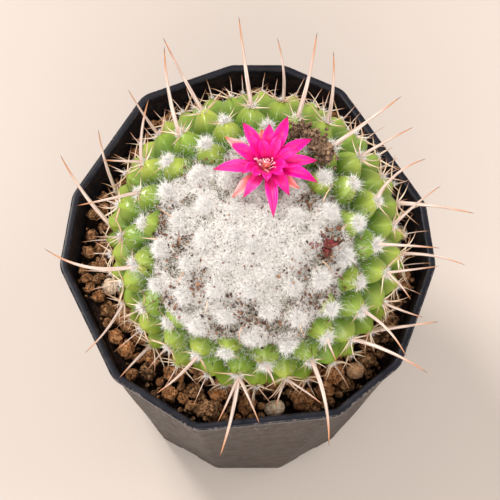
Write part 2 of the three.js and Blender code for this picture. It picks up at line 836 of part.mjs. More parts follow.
function buildPart() {
  const part = new THREE.Group();
  const skin = starSolid(skinCorners(GAP + 0.1));
  const cactus = cactusSolid();
  const flowerBore = placed(flowerTube(GAP), flowerPlace);
  const dried = driedFlowerSolid();
  const wool = woolSolid().subtract(flowerBore);
  const clod = clodSolid().subtract(skin).subtract(starSolid(woolCorners(GAP)));
  const beds = STONES.map((stone) => stoneSolid(stone, GAP));
  const soil = soilSolid().subtract(skin).subtract(joined(beds));

  part.add(meshOf("pot", potSolid(), COLOURS.pot));
  part.add(meshOf("soil", largest(soil), COLOURS.soil));
  part.add(meshOf("cactus", cactus, COLOURS.cactus));
  part.add(meshOf("crown_wool", largest(wool), COLOURS.wool));
  part.add(meshOf("flower", flowerSolid(), COLOURS.petal));
  part.add(meshOf("flower_stamens", stamenSolid(), COLOURS.stamen));
  part.add(meshOf("dried_flower", dried, COLOURS.dried));
  part.add(meshOf("peat_clod", largest(clod), COLOURS.clod));
  STONES.forEach((stone, i) => part.add(meshOf(`pale_stone_${i + 1}`, stoneSolid(stone, 0), COLOURS.stone)));
  return part;
}

export default buildPart();
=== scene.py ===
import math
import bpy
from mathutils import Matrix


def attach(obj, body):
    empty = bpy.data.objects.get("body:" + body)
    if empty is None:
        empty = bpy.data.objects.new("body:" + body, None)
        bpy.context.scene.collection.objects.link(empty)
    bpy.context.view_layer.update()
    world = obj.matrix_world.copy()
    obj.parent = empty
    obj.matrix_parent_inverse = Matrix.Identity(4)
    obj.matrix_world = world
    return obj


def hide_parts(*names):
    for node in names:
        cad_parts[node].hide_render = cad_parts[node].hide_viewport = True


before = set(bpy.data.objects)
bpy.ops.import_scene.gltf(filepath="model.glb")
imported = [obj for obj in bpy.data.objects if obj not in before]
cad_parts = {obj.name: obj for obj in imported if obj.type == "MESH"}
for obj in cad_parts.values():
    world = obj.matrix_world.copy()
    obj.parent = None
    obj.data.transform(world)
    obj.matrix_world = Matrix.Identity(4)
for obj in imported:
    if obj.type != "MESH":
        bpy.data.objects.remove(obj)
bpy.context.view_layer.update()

# A round cactus in a twelve-sided plastic pot: a spiral of waxy tubercles with their tufts, spines
# and bristles, a woolly crown with one star flower, the dry remnant of another and a clod of peat,
# and clay granules with four pumice stones on the soil.
# Lengths are in mm and angles in degrees, except where Blender is handed metres or radians.

from types import SimpleNamespace as Sizes

import bmesh
import bpy
import numpy as np
from mathutils import Matrix, Vector

MM = 0.001
UP = np.array([0.0, 0.0, 1.0])
ACROSS = np.array([1.0, 0.0, 0.0])

# ------------------------------------------------------------------ driving sizes

POT = Sizes(height=88, wall=1.2, floor=1.6, foot_reach=31.2, rim_reach=45, foot_chamfer=0.8,
            corner_radius=5.5, least_corner=0.8, corner_points=6, side_points=6)
BOW = Sizes(depth=0.22, most=0.28, length=30.0)  # how the pot's thin sides bow in and out
LIP = Sizes(height=2.8, proud=0.7, rounding=0.5)
DRAIN = Sizes(radius=3, height=3.4, inset=1.2, below=1, sides=(0, 2, 4, 6, 8, 10))
GAP = 0.3  # clear space between pieces that touch
SOIL_INSET = LIP.proud + POT.wall + GAP  # from the pot's outline to the soil inside it

# The rim's twelve sides, a little out of true: outward bearing and distance from the centre line.
RIM_SIDES = [
    (8, 44.5), (33.5, 42.5), (66, 47.5), (90, 48), (110, 46.5), (147, 43.5),
    (171, 44.5), (205, 43.5), (237, 45.5), (276, 44.5), (310, 46.5), (341, 44.5),
]

# The bed of potting mix: its uneven top lies under the level of the granules, and runs out plain
# along the pot's wall.
SOIL = Sizes(level=77, below_granules=2.6, relief=1.1, lump=2.4, plain_from=0.97, rings=56, plant_room=1)
HEAP = Sizes(height=4.0, back=(8, 34), left=(28, 38), left_share=0.8)  # where it lies higher than that
OPENING = Sizes(x=(-46, 46), y=(-46, 48))  # how far the pot's mouth reaches

# Granules: how many are sought, their radii, how closely they lie, how far they sink, and the room
# that they leave to the wall, the plant and the stones.
LARGE = Sizes(number=170, radius=(2, 3), spacing=0.88, sink=0.25, tries=6000, wall_room=1.25,
              plant_room=0.3, under_plant=3.4, stone_room=0.8)
MIDDLING = Sizes(number=130, radius=(1.0, 1.9), spacing=0.86, front=-46, deep=0.0)
BEHIND = Sizes(number=70, radius=(1.2, 2.2), spacing=0.7, front=16, deep=0.0)
SMALL = Sizes(number=170, radius=(0.35, 0.9), spacing=0.8, front=-46, deep=1.0)
FILLING = Sizes(tries=40, sink=(-0.4, 0.5), wall_room=1.1, under_plant=3.0, stone_room=0.7)
# Painted shade: the finest granules, deep in the gaps, are painted darker.
GAP_SHADE = Sizes(radius=(0.3, 1.5), shade=(0.15, 1.0))  # the finest granules are the darkest

# The pumice stones: place, radius and tone.
STONES = [
    (6.5, -37.4, 2.5, "pale"), (-33.6, -6.5, 2.1, "pale"), (37.6, 7.5, 2.1, "pale"), (26, -28, 2.3, "tan"),
]
STONE_LIFT = 1.1

# The plant leans forward about its centre. Its tubercles stand on a round core and reach to their tips.
CACTUS = Sizes(centre=(2, 1.2, 90), lean=21.5, core=29, tip=36)
# The spiral of areoles: bearing of the first, turn to the next, how many lie above the equator, how
# they spread, and where the spiral ends.
SPIRAL = Sizes(first=101.6, turn=137.508, to_equator=111.4, spread=0.672, lowest=132, most=400)
BURIED = Sizes(start=75, clear=79)  # heights between which the tubercles rise to their full form
UNDERSIDE_RINGS = [(146, 9), (163, 5)]  # polar angle and number of the plain cells below the spiral
TUBERCLE = Sizes(corner=5.6, roundness=0.13, fullness=1.45, steepness=0.74, blend=2.6)
SKIN = Sizes(splits=12, relief=0.5, lump=3.2, seam=0.003)  # its faces and its fine unevenness

# The crown's wool. Its edge is a polar angle, which goes lower in front and to the left, in waves.
WOOL = Sizes(radius=35.2, edge=45.5, forward=4, left=4.5, left_bearing=192, wave=2.5, waves=5, fade=9,
             swell_from=11, swell_to=2)
TUFTS = Sizes(height=1.3, width=2.3, size=(0.7, 1.15))
FELT = Sizes(rows=110, columns=330, lowest=58, back_rows=12, between=33.9, filled=34.9, sink=2.6,
             inner=CACTUS.core - 2.5)
# The crown's short hair, the loose wool in the furrows, and the broken spine ends.
HAIR = Sizes(radius=0.052, length=(0.8, 2.1), each_piece=19000, pieces=3, lowest=50, root=0.35)
STRAY = Sizes(number=6500, radius=0.05, length=(0.8, 2.4), lowest=72)
BROKEN = Sizes(number=230, radius=0.11, length=(1.2, 3.4), lowest=68)
# The tufts, from the crown out to the margin and on to the oldest: hairs, width and length.
PUFF = Sizes(radius=0.056, polar=(0, 34, 52, 70, 95), hairs=(420, 620, 500, 140, 45),
             base=(1.7, 1.6, 1.2, 0.62, 0.4), length=(1.7, 1.8, 1.7, 1.1, 0.8), dome=0.5,
             long_share=0.3, longer=1.9, core=0.5, core_sink=0.7)

# Long and thin spines: the polar angles and least height where they grow, and how far they keep
# over the soil, over the rim and from the pot's sides.
SPINE = Sizes(radius=0.55, root=1.6, polar=(58, 106), lowest=82, least_lift=5.5, short_length=(6, 9.5),
              short_radius=0.25, short_lean=14, behind=0.68, usual_length=19, waver=0.25,
              tries_upward=6, step_upward=0.22, over_soil=4.6, over_rim=1.5, side_room=4.0)
RADIAL = Sizes(radius=0.2, length=(3.5, 7.2), polar=(43, 104), lowest=80.5, least_lift=3.5, lean=(48, 82),
               number=(3, 8.5), fewer_behind=6, over_soil=1.5, over_rim=0.0, side_room=2.4)

# Long spines in view: areole, bearing and rise about the plant's axis, length, and how far the
# middle bows to the left as seen from the root.
LONG_SPINES = [
    (63, 100, 16, 21.5, 0.9), (76, 118, 30, 22.5, 0), (68, 98, 16, 22, 0), (81, 95, 33, 17.5, -1),
    (60, 77, 16, 21.5, -0.4), (73, 86, 30, 19, -0.7), (52, 36, 16, 20.5, 0), (65, 30, 33, 16.5, 0),
    (57, 42, 33, 17.5, 1.6), (70, 42, 33, 17, 0.3), (91, -7, 20, 19, 0.3), (83, -8, 30, 17.5, 1.3),
    (49, -2, 33, 17, 0), (62, 9, 35, 15, 0), (62, -48, 40, 11, 0.7), (75, -19, 38, 12, 0),
    (88, 10, 25, 17.5, 0.3), (54, -45, 33, 17, 1.1), (67, -23, 16, 20, 1), (59, -78, 18, 21, 1.3),
    (46, -68, 50, 9, 0), (64, -103, 18, 20.5, 0.4), (64, -115, 40, 15, 0), (64, -64, 40, 15.5, 0),
    (51, -64, 55, 9, 0), (72, -32, 40, 13.5, 0), (72, -112, 50, 10, 0), (56, -139, 38, 16, 0.4),
    (103, -136, 49, 15.5, 0), (95, -127, 33, 17, 0.8), (53, 169, 18, 22, 2.5), (100, 125, 16, 20.5, 1),
    (113, 105, 30, 17.5, 0.6), (58, -168, 33, 17, 0), (71, 83, 30, 17.5, 0.7), (71, 177, 40, 12.5, 0),
    (84, 123, 40, 16.5, 0),
]
# Slim cream spines in the wool: bearing and polar angle of the root, bearing to which it leans,
# and length.
WOOL_SPINES = [
    (162, 34, 140, 6.5), (177, 40, 172, 4.5), (-160, 30, -110, 5), (33, 31, 60, 6), (-14, 26, -60, 4.5),
    (-131, 29, -95, 3.5), (-60, 36, -80, 4), (95, 30, 120, 3), (10, 33, 40, 3.5), (-100, 33, -95, 4),
]

# The flower: where it grows, which way its axis points, the room between the tubercles, and its tube.
FLOWER = Sizes(bearing=83, polar=33, axis_polar=15, seat=0.8, axil=(9, 15.5), tube=1.7, flare=2.6, length=8,
               columns=40)
PETAL = Sizes(thickness=0.34, throat=1.1, longest=13, cup=(1.5, 0.9), groove=0.12, groove_width=0.22,
              wave=0.10, rows=26, columns=11, seam=0.01)
# Each layer of petals: how it rises, droops and roots, then bearing and reach of every tip.
PETALS = dict(
    outer=Sizes(width=2.85, rise=5.0, droop=4.0, root=-0.6, tips=[
        (62, 13), (86, 10.2), (118, 11.8), (151, 10), (-174, 12.4), (-122, 9.4), (-79, 12.4),
        (-50, 9), (-15, 12.6), (4, 12), (31, 12.6)]),
    inner=Sizes(width=2.4, rise=6.2, droop=0.9, root=0, tips=[
        (128, 8), (60, 6.8), (24, 7.8), (-160, 6.5), (100, 5.4), (-8, 5.2), (-137, 5),
        (-90, 5), (-45, 5.2)]),
    sepal=Sizes(width=3, rise=3, droop=1.6, root=-1.2, tips=[(146, 12), (-137, 11), (-37, 9.4), (98, 9)]),
)
STAMENS = Sizes(count=24, disc=0.95, length=3.2, radius=0.15, turn=2.4, head=(0.15, 0.25))
STIGMA = Sizes(lobes=7, length=1.3, radius=0.24, lift=1.6, style_length=2.6, style_radius=0.3)

DRIED_FLOWER = Sizes(bearing=-1, polar=26, lift=1.6, petals=15, length=3.2, width=0.75, thickness=0.14,
                     rows=10, columns=6, crumbs=70, crumb=(0.2, 0.5))
# Lumps of the peat clod: bearing, polar angle, height over the core and radius.
CLOD = [(71, 51, 7.6, 1.9), (65, 49.5, 8, 2.2), (59, 46.5, 8.4, 2.9), (53, 45.5, 8.6, 3)]
CLOD_BITS = Sizes(number=26, size=(0.26, 0.54), crumbs=240, crumb=(0.2, 0.7), scatter=1.5)
# Patches of brown crumbs in the wool: bearing, polar angle, spread in mm and number.
CRUMB_PATCHES = [
    (-145, 28, 2.0, 130), (-107, 26, 1.8, 90), (-93, 29, 1.8, 90), (-148, 43, 2.2, 90), (-178, 31, 2.0, 90),
    (168, 42, 1.8, 70), (-31, 18, 1.8, 60), (-46, 32, 2.0, 110), (44, 27, 1.7, 70), (-112, 37, 2.0, 80),
    (-74, 33, 2.2, 90), (-37, 37, 1.8, 60), (161, 36, 1.6, 50), (128, 44, 1.6, 40), (-8, 29, 1.2, 50),
]
# Crumbs all over the wool, dust in its hollows, and crumbs along its margin: number tried and lowest
# polar angle.
CRUMBS = Sizes(loose=(260, 46), dust=(9000, 52), margin=(5000, 70), dust_tone=0.35)

# ------------------------------------------------------------------ numbers and directions


WORD = 2**32  # the numbers are mixed up in 32 bits


def part_stream(seed):
    """The part's repeatable stream of numbers between 0 and 1."""
    state = seed
    while True:
        state = (state + 0x6D2B79F5) % WORD
        t = ((state ^ (state >> 15)) * (state | 1)) % WORD
        t ^= (t + (((t ^ (t >> 7)) * (t | 61)) % WORD)) % WORD
        yield ((t ^ (t >> 14)) % WORD) / WORD


def lerp(low, high, share):
    """The value a share of the way from low to high."""
    return low + (high - low) * share


def smoothstep(value, low, high):
    """Eases from 0 to 1 as the value goes from low to high."""
    t = np.clip((value - low) / (high - low), 0, 1)
    return t * t * (3 - 2 * t)


def unit(vectors):
    """The vectors, each made 1 long."""
    return vectors / np.linalg.norm(vectors, axis=-1, keepdims=True)


def direction(bearing, polar):
    """Unit directions about the plant's axis, from bearings and polar angles in degrees."""
    b, p = np.radians(bearing), np.radians(polar)
    return np.stack([np.sin(p) * np.cos(b), np.sin(p) * np.sin(b), np.cos(p) + 0 * b], axis=-1)


def bearing_and_polar(units):
    """Bearings and polar angles in degrees of unit directions about the plant's axis."""
    polar = np.degrees(np.arccos(np.clip(units[:, 2], -1, 1)))
    return np.degrees(np.arctan2(units[:, 1], units[:, 0])), polar


def frame_about(axes):
    """Two unit directions square to each axis and to each other."""
    steep = np.abs(axes[..., 2:3]) > 0.99
    first = unit(np.cross(np.where(steep, ACROSS, UP), axes))
    return first, np.cross(axes, first)


def besides(axes, angle, turn):
    """Directions at an angle from the axes, turned about them; both in radians."""
    first, second = frame_about(axes)
    angle, turn = np.asarray(angle)[..., None], np.asarray(turn)[..., None]
    return axes * np.cos(angle) + (first * np.cos(turn) + second * np.sin(turn)) * np.sin(angle)


LEAN = np.array(Matrix.Rotation(math.radians(CACTUS.lean), 3, "X"), float)
CENTRE = np.array(CACTUS.centre, float)


def in_world(points):
    """Points of the leaning plant, from its own frame to the pot's."""
    return points @ LEAN.T + CENTRE


def hashed(cells, seed):
    """A number between 0 and 1 for each cell of a lattice: large odd factors mix up its digits."""
    cells = cells.astype(np.int64)
    mixed_up = cells[..., 0] * 374761393 + cells[..., 1] * 668265263 + cells[..., 2] * 1440662683
    mixed_up = (mixed_up + seed * 974634787) & (WORD - 1)
    mixed_up = ((mixed_up ^ (mixed_up >> 13)) * 1274126177) & (WORD - 1)
    mixed_up = ((mixed_up ^ (mixed_up >> 15)) * 2246822519) & (WORD - 1)
    return (mixed_up ^ (mixed_up >> 16)) / WORD


def grain(points, size, seed=0, octaves=3):
    """Uneven numbers from about -1 to 1, with swellings of a size in mm and finer ones on them."""
    total = np.zeros(points.shape[:-1])
    for octave in range(octaves):
        scaled = points * 2**octave / size + 17.3 * octave
        cell = np.floor(scaled)
        t = scaled - cell
        t = t * t * t * (t * (t * 6 - 15) + 10)
        value = 0
        for corner in np.ndindex(2, 2, 2):
            weight = np.prod(np.where(np.array(corner), t, 1 - t), axis=-1)
            value = value + weight * hashed(cell + np.array(corner), seed + octave)
        total += (2 * value - 1) / 2**octave
    return total


def pits(points):
    """Distance to the nearest of many scattered points, which lie about 1 apart."""
    cell = np.floor(points)
    nearest = np.full(points.shape[:-1], 9.0)
    for step in np.ndindex(3, 3, 3):
        there = cell + np.array(step) - 1
        spot = there + np.stack([hashed(there, k) for k in range(3)], axis=-1)
        nearest = np.minimum(nearest, np.linalg.norm(points - spot, axis=-1))
    return nearest


# ------------------------------------------------------------------ shapes


class Shape:
    """A surface in mm: points, faces as arrays of corner numbers, and marks, a number a point."""

    def __init__(self, points, faces, **marks):
        """A mark may also be a single number, the same at every point."""
        self.points = np.asarray(points, float)
        self.faces = [np.asarray(rows, int) for rows in faces if len(rows)]
        self.marks = {name: np.broadcast_to(mark, len(self.points)) for name, mark in marks.items()}


def together(shapes):
    """Several shapes, which have the same marks, as one."""
    starts = np.cumsum([0] + [len(shape.points) for shape in shapes])
    faces = [rows + start for shape, start in zip(shapes, starts) for rows in shape.faces]
    marks = {name: np.concatenate([s.marks[name] for s in shapes]) for name in shapes[0].marks}
    return Shape(np.concatenate([s.points for s in shapes]), faces, **marks)


def net(rows, columns, closed=True):
    """Quads between the points of a grid; closed joins each row's end to its start."""
    i = np.arange(rows - 1)[:, None] * columns
    j = np.arange(columns if closed else columns - 1)[None, :]
    k = (j + 1) % columns
    return np.stack([i + j, i + k, i + k + columns, i + j + columns], axis=-1).reshape(-1, 4)


def fan(ring, centre):
    """Triangles from each side of a ring of corner numbers to one more corner."""
    ring = np.asarray(ring)
    return np.stack([ring, np.roll(ring, -1), np.full(len(ring), centre)], axis=-1)


def repeated(pattern, size, number):
    """The faces of one thing, for a number of things of so many points each."""
    return (pattern[None] + (size * np.arange(number))[:, None, None]).reshape(-1, pattern.shape[1])


def strands(roots, aims, lengths, radii, bends, sides=3, steps=2, taper=1.0, **marks):
    """Tapering strands, each closed at its root: hairs, bristles or thorns."""
    number = len(roots)
    t = np.arange(steps) / steps
    first, second = frame_about(aims)
    turn = 2 * np.pi * np.arange(sides) / sides
    ring = first[:, None] * np.cos(turn)[:, None] + second[:, None] * np.sin(turn)[:, None]
    lengths, radii = np.broadcast_to(lengths, number), np.broadcast_to(radii, number)
    bow = bends[:, None] * (4 * t * (1 - t))[:, None]
    spine = roots[:, None] + aims[:, None] * (lengths[:, None] * t)[..., None] + bow
    size = radii[:, None] * (1 - t) ** taper
    rings = spine[:, :, None] + ring[:, None] * size[:, :, None, None]
    tips = roots + aims * lengths[:, None]
    each = steps * sides + 1
    points = np.concatenate([rings.reshape(number, -1, 3), tips[:, None]], axis=1)
    faces = [
        repeated(net(steps, sides), each, number) if steps > 1 else [],
        repeated(fan((steps - 1) * sides + np.arange(sides), each - 1), each, number),
        repeated(np.arange(sides)[None, ::-1], each, number),
    ]
    spread = {name: np.repeat(np.broadcast_to(mark, number), each) for name, mark in marks.items()}
    along = np.tile(np.append(np.repeat(t, sides), 1.0), number)
    around = np.tile(np.append(np.tile(turn, steps), 0.0), number)
    return Shape(points.reshape(-1, 3), faces, along=along, around=around, **spread)


def ball(subdivisions):
    """Points and triangles of a ball of radius 1."""
    bm = bmesh.new()
    bmesh.ops.create_icosphere(bm, subdivisions=subdivisions, radius=1)
    points = np.array([v.co[:] for v in bm.verts])
    triangles = np.array([[v.index for v in f.verts] for f in bm.faces])
    bm.free()
    return points, triangles


PITS_ACROSS = 2.6  # pits of a granule, counted along its radius


def lumps(places, radii, rng, subdivisions, rough=0.2, lump_size=0.8, pit=0.0, squash=(0.78, 1.12)):
    """Uneven round lumps, such as granules and crumbs, each with a tone of its own."""
    form, triangles = ball(subdivisions)
    number = len(places)
    turned = np.array([random_turn(rng) for _ in range(number)])
    stretched = form[None] * rng.uniform(*squash, (number, 1, 3))
    points = np.einsum("nij,nmj->nmi", turned, stretched)
    offsets = rng.uniform(-99, 99, (number, 1, 3))
    height = 1 + rough * grain(points / lump_size + offsets, 1.0)
    if pit:
        height = height - pit * (1 - smoothstep(pits(points * PITS_ACROSS + offsets), 0.1, 0.5))
    points = points * height[..., None] * np.asarray(radii)[:, None, None]
    points = points + np.asarray(places)[:, None]
    tones = np.repeat(rng.random(number), len(form))
    return Shape(points.reshape(-1, 3), [repeated(triangles, len(form), number)], tone=tones)


def random_turn(rng):
    """A random rotation, as a matrix."""
    turn = np.linalg.qr(rng.normal(size=(3, 3)))[0]
    return turn * np.sign(np.linalg.det(turn))


def mesh_of(name, shape):
    """Blender's smooth-shaded mesh of a shape, with its marks as attributes of the points."""
    mesh = bpy.data.meshes.new(name)
    corners = np.concatenate([rows.ravel() for rows in shape.faces])
    sizes = np.concatenate([np.full(len(rows), rows.shape[1]) for rows in shape.faces])
    mesh.vertices.add(len(shape.points))
    mesh.vertices.foreach_set("co", (shape.points * MM).ravel())
    mesh.loops.add(len(corners))
    mesh.loops.foreach_set("vertex_index", corners)
    mesh.polygons.add(len(sizes))
    mesh.polygons.foreach_set("loop_start", np.cumsum(sizes) - sizes)
    for mark, values in shape.marks.items():
        mesh.attributes.new(mark, "FLOAT", "POINT").data.foreach_set("value", values.astype(float))
    mesh.update(calc_edges=True)
    mesh.shade_smooth()
    return mesh


def piece(name, finish, shape, replaces=()):
    """A piece of the object in its place, which rides on the pot's body."""
    made = bpy.data.objects.new(name, mesh_of(name, shape))
    bpy.context.scene.collection.objects.link(made)
    made.data.materials.append(finish)
    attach(made, "root")
    if replaces:
        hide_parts(*replaces)
    return made


def weld(thing, distance):
    """Joins the corners of a piece that lie closer together than a distance in mm."""
    bm = bmesh.new()
    bm.from_mesh(thing.data)
    bmesh.ops.remove_doubles(bm, verts=bm.verts, dist=distance * MM)
    bm.to_mesh(thing.data)
    bm.free()


# ------------------------------------------------------------------ finishes


def new_finish(name, **values):
    """A material with one Principled shader, and the values that are the same all over it."""
    material = bpy.data.materials.new(name)
    material.use_nodes = True
    tree = material.node_tree
    shader = tree.nodes["Principled BSDF"]
    for socket, value in values.items():
        shader.inputs[socket.replace("_", " ")].default_value = value
    return material, tree, shader


def feed(tree, socket, value):
    """Gives a socket its value, or links it to another node's output."""
    if isinstance(value, bpy.types.NodeSocket):
        tree.links.new(value, socket)
    else:
        socket.default_value = value


def add(tree, kind, inputs=None, **settings):
    """A new shader node, with its settings and what its inputs get."""
    made = tree.nodes.new("ShaderNode" + kind)
    for name, value in settings.items():
        setattr(made, name, value)
    for name, value in (inputs or {}).items():
        feed(tree, made.inputs[name], value)
    return made


def colour(red, green, blue):
    """An opaque colour, in linear light."""
    return (red, green, blue, 1.0)


def mixed(tree, mask, first, second):
    """The first colour where the mask is 0, and the second where it is 1."""
    mix = add(tree, "Mix", {0: mask, 6: first, 7: second}, data_type="RGBA")
    return mix.outputs[2]


def sums(tree, operation, first, second):
    """One step of arithmetic, such as MULTIPLY."""
    return add(tree, "Math", {0: first, 1: second}, operation=operation).outputs[0]


def ranged(tree, value, low, high, to_low=0.0, to_high=1.0):
    """Runs smoothly from to_low to to_high as the value goes from low to high."""
    inputs = {"Value": value, "From Min": low, "From Max": high, "To Min": to_low, "To Max": to_high}
    return add(tree, "MapRange", inputs, interpolation_type="SMOOTHSTEP").outputs[0]


def mark(tree, name):
    """A number that the mesh carries at its points."""
    return add(tree, "Attribute", attribute_name=name).outputs["Fac"]


def varied(tree, shader, **sockets):
    """Links values and colours that change over the surface to the shader."""
    for socket, value in sockets.items():
        tree.links.new(value, shader.inputs[socket.replace("_", " ")])


def bumped(tree, shader, height, depth):
    """Gives the shader's surface a relief of a depth in mm."""
    bump = add(tree, "Bump", {"Height": height, "Distance": depth * MM, "Strength": 1.0})
    varied(tree, shader, Normal=bump.outputs[0])


def in_mm(tree):
    """The place on the object in mm."""
    place = add(tree, "TexCoord").outputs["Object"]
    return add(tree, "VectorMath", {0: place, 1: [1 / MM] * 3}, operation="MULTIPLY").outputs[0]


def shared_effect(name, inputs, outputs, build):
    """A node group that several finishes use, with a number at each of its inputs and outputs."""
    tree = bpy.data.node_groups.new(name, "ShaderNodeTree")
    for key, value in inputs.items():
        socket = tree.interface.new_socket(key, in_out="INPUT", socket_type="NodeSocketFloat")
        socket.default_value = value
    for key in outputs:
        tree.interface.new_socket(key, in_out="OUTPUT", socket_type="NodeSocketFloat")
    start = tree.nodes.new("NodeGroupInput")
    end = tree.nodes.new("NodeGroupOutput")
    for key, result in build(tree, start.outputs).items():
        tree.links.new(result, end.inputs[key])
    return tree


def effect(tree, group, **inputs):
    """A shared effect placed in a finish with values of its own: the outputs of its group."""
    made = tree.nodes.new("ShaderNodeGroup")
    made.node_tree = group
    for name, value in inputs.items():
        feed(tree, made.inputs[name], value)
    return made.outputs


def build_mottling(tree, given):
    """Soft blotches of a size in mm; more Contrast parts them more sharply."""
    scale = sums(tree, "DIVIDE", 1.0, given["Size"])
    noise = add(tree, "TexNoise", {"Vector": in_mm(tree), "Scale": scale, "Detail": 4.0})
    half = sums(tree, "DIVIDE", 0.5, given["Contrast"])
    low, high = sums(tree, "SUBTRACT", 0.5, half), sums(tree, "ADD", 0.5, half)
    return {"Mask": ranged(tree, noise.outputs["Fac"], low, high)}


def build_specks(tree, given):
    """Scattered specks of a size in mm; Amount is the share of the surface that they take."""
    scale = sums(tree, "DIVIDE", 1.0, given["Size"])
    cells = add(tree, "TexVoronoi", {"Vector": in_mm(tree), "Scale": scale, "Randomness": 1.0})
    wobble = add(tree, "TexNoise", {"Vector": in_mm(tree), "Scale": scale, "Detail": 2.0})
    uneven = ranged(tree, wobble.outputs["Fac"], 0.2, 0.8, 0.6, 1.6)
    far = sums(tree, "MULTIPLY", cells.outputs["Distance"], uneven)
    chosen = add(tree, "SeparateColor", {0: cells.outputs["Color"]}).outputs[0]
    picked = sums(tree, "LESS_THAN", chosen, given["Amount"])
    spot = ranged(tree, far, 0.22, 0.34, 1.0, 0.0)
    return {"Mask": sums(tree, "MULTIPLY", spot, picked)}


def build_crumble(tree, given):
    """The broken surface of baked clay, pumice or peat: its Height, and how deep its pits are, which the
    finishes paint dark as shade.
    """
    scale = sums(tree, "DIVIDE", 1.0, given["Size"])
    place = in_mm(tree)
    noise = add(tree, "TexNoise", {"Vector": place, "Scale": scale, "Detail": 6.0, "Roughness": 0.62})
    holes = add(tree, "TexVoronoi", {"Vector": place, "Scale": scale, "Randomness": 1.0})
    hollow = ranged(tree, holes.outputs["Distance"], 0.12, 0.42, 1.0, 0.0)
    deep = sums(tree, "MULTIPLY", hollow, given["Pitting"])
    height = sums(tree, "SUBTRACT", noise.outputs["Fac"], deep)
    return {"Height": height, "Pit_Shade": deep}


MOTTLING = shared_effect("mottling", {"Size": 2.0, "Contrast": 2.0}, ["Mask"], build_mottling)
SPECKS = shared_effect("specks", {"Size": 1.0, "Amount": 0.3}, ["Mask"], build_specks)
CRUMBLE = shared_effect("crumble", {"Size": 0.8, "Pitting": 0.6}, ["Height", "Pit_Shade"], build_crumble)


def pot_wall_plastic():
    """Black plastic with a thin film of dust that is also a painted warm sheen, flecked with dried soil, most
    of it under the lip.
    """
    material, tree, shader = new_finish("pot_wall", Specular_IOR_Level=0.28)
    place = in_mm(tree)
    drawn_out = add(tree, "VectorMath", {0: place, 1: (1, 1, 0.6)}, operation="MULTIPLY").outputs[0]
    height = add(tree, "SeparateXYZ", {0: place}).outputs["Z"]
    broad = add(tree, "TexNoise", {"Vector": drawn_out, "Scale": 0.08, "Detail": 3.0}).outputs["Fac"]
    blotches = ranged(tree, broad, 0.3, 0.7)
    tone = mixed(tree, blotches, colour(0.014, 0.010, 0.008), colour(0.032, 0.021, 0.015))
    # The film is partly dust and partly a painted warm sheen, which stands in for the wall's glancing
    # reflection of the floor.
    dust_and_sheen = add(tree, "TexNoise", {"Vector": drawn_out, "Scale": 0.35, "Detail": 6.0, "Roughness": 0.65})
    dust_and_sheen = ranged(tree, dust_and_sheen.outputs["Fac"], 0.3, 0.8)
    tone = mixed(tree, sums(tree, "MULTIPLY", dust_and_sheen, 0.3), tone, colour(0.15, 0.10, 0.075))
    flecks = add(tree, "TexNoise", {"Vector": drawn_out, "Scale": 0.8, "Detail": 5.0, "Roughness": 0.62})
    near_lip = ranged(tree, height, 30.0, 84.0, 0.12, 1.0)
    grit = sums(tree, "MULTIPLY", ranged(tree, flecks.outputs["Fac"], 0.60, 0.68), near_lip)
    tone = mixed(tree, sums(tree, "MULTIPLY", grit, 0.6), tone, colour(0.62, 0.46, 0.36))
    varied(tree, shader, Base_Color=tone, Roughness=ranged(tree, dust_and_sheen, 0.0, 1.0, 0.45, 0.66))
    return material


def pot_lip_plastic():
    """Black plastic at the lip, scuffed pale along its edge, with a painted highlight there, and dusty on the
    inside.
    """
    material, tree, shader = new_finish("pot_lip", Specular_IOR_Level=0.16)
    blotches = effect(tree, MOTTLING, Size=5.0, Contrast=1.6)["Mask"]
    tone = mixed(tree, blotches, colour(0.003, 0.004, 0.008), colour(0.010, 0.011, 0.018))
    scuffs = effect(tree, MOTTLING, Size=0.7, Contrast=5.0)["Mask"]
    patches = effect(tree, MOTTLING, Size=3.0, Contrast=3.0)["Mask"]
    # The pale edge is partly scuffs and partly a painted highlight along the lip's rounded edges.
    scuffs_and_glint = sums(tree, "MULTIPLY", sums(tree, "MULTIPLY", scuffs, patches), mark(tree, "edge"))
    tone = mixed(tree, sums(tree, "MULTIPLY", scuffs_and_glint, 0.6), tone, colour(0.38, 0.30, 0.27))
    crumbs = effect(tree, MOTTLING, Size=1.5, Contrast=4.0)["Mask"]
    dusty = sums(tree, "MULTIPLY", crumbs, mark(tree, "inside"))
    tone = mixed(tree, sums(tree, "MULTIPLY", dusty, 0.3), tone, colour(0.09, 0.052, 0.034))
    matt = ranged(tree, mark(tree, "inside"), 0.0, 1.0, 0.26, 0.55)
    varied(tree, shader, Base_Color=tone, Roughness=matt)
    return material


def baked_clay(name, dark, warm, dusty):
    """Rough baked clay or peat: a tone for each granule from dark to warm, pits with painted shade in them,
    and a dusty bloom.
    """
    material, tree, shader = new_finish(name, Specular_IOR_Level=0.2, Roughness=0.95)
    surface = effect(tree, CRUMBLE, Size=0.6, Pitting=0.9)
    tone = mixed(tree, mark(tree, "tone"), dark, warm)
    bloom = effect(tree, MOTTLING, Size=0.9, Contrast=3.2)["Mask"]
    tone = mixed(tree, sums(tree, "MULTIPLY", bloom, 0.5), tone, dusty)
    shade = effect(tree, MOTTLING, Size=1.6, Contrast=3.0)["Mask"]
    tone = mixed(tree, sums(tree, "MULTIPLY", shade, 0.55), tone, dark)
    # Painted shade: the pits are painted nearly black.
    tone = mixed(tree, sums(tree, "MULTIPLY", surface["Pit_Shade"], 0.95), tone, colour(0.012, 0.005, 0.003))
    varied(tree, shader, Base_Color=tone)
    bumped(tree, shader, surface["Height"], 0.6)
    return material


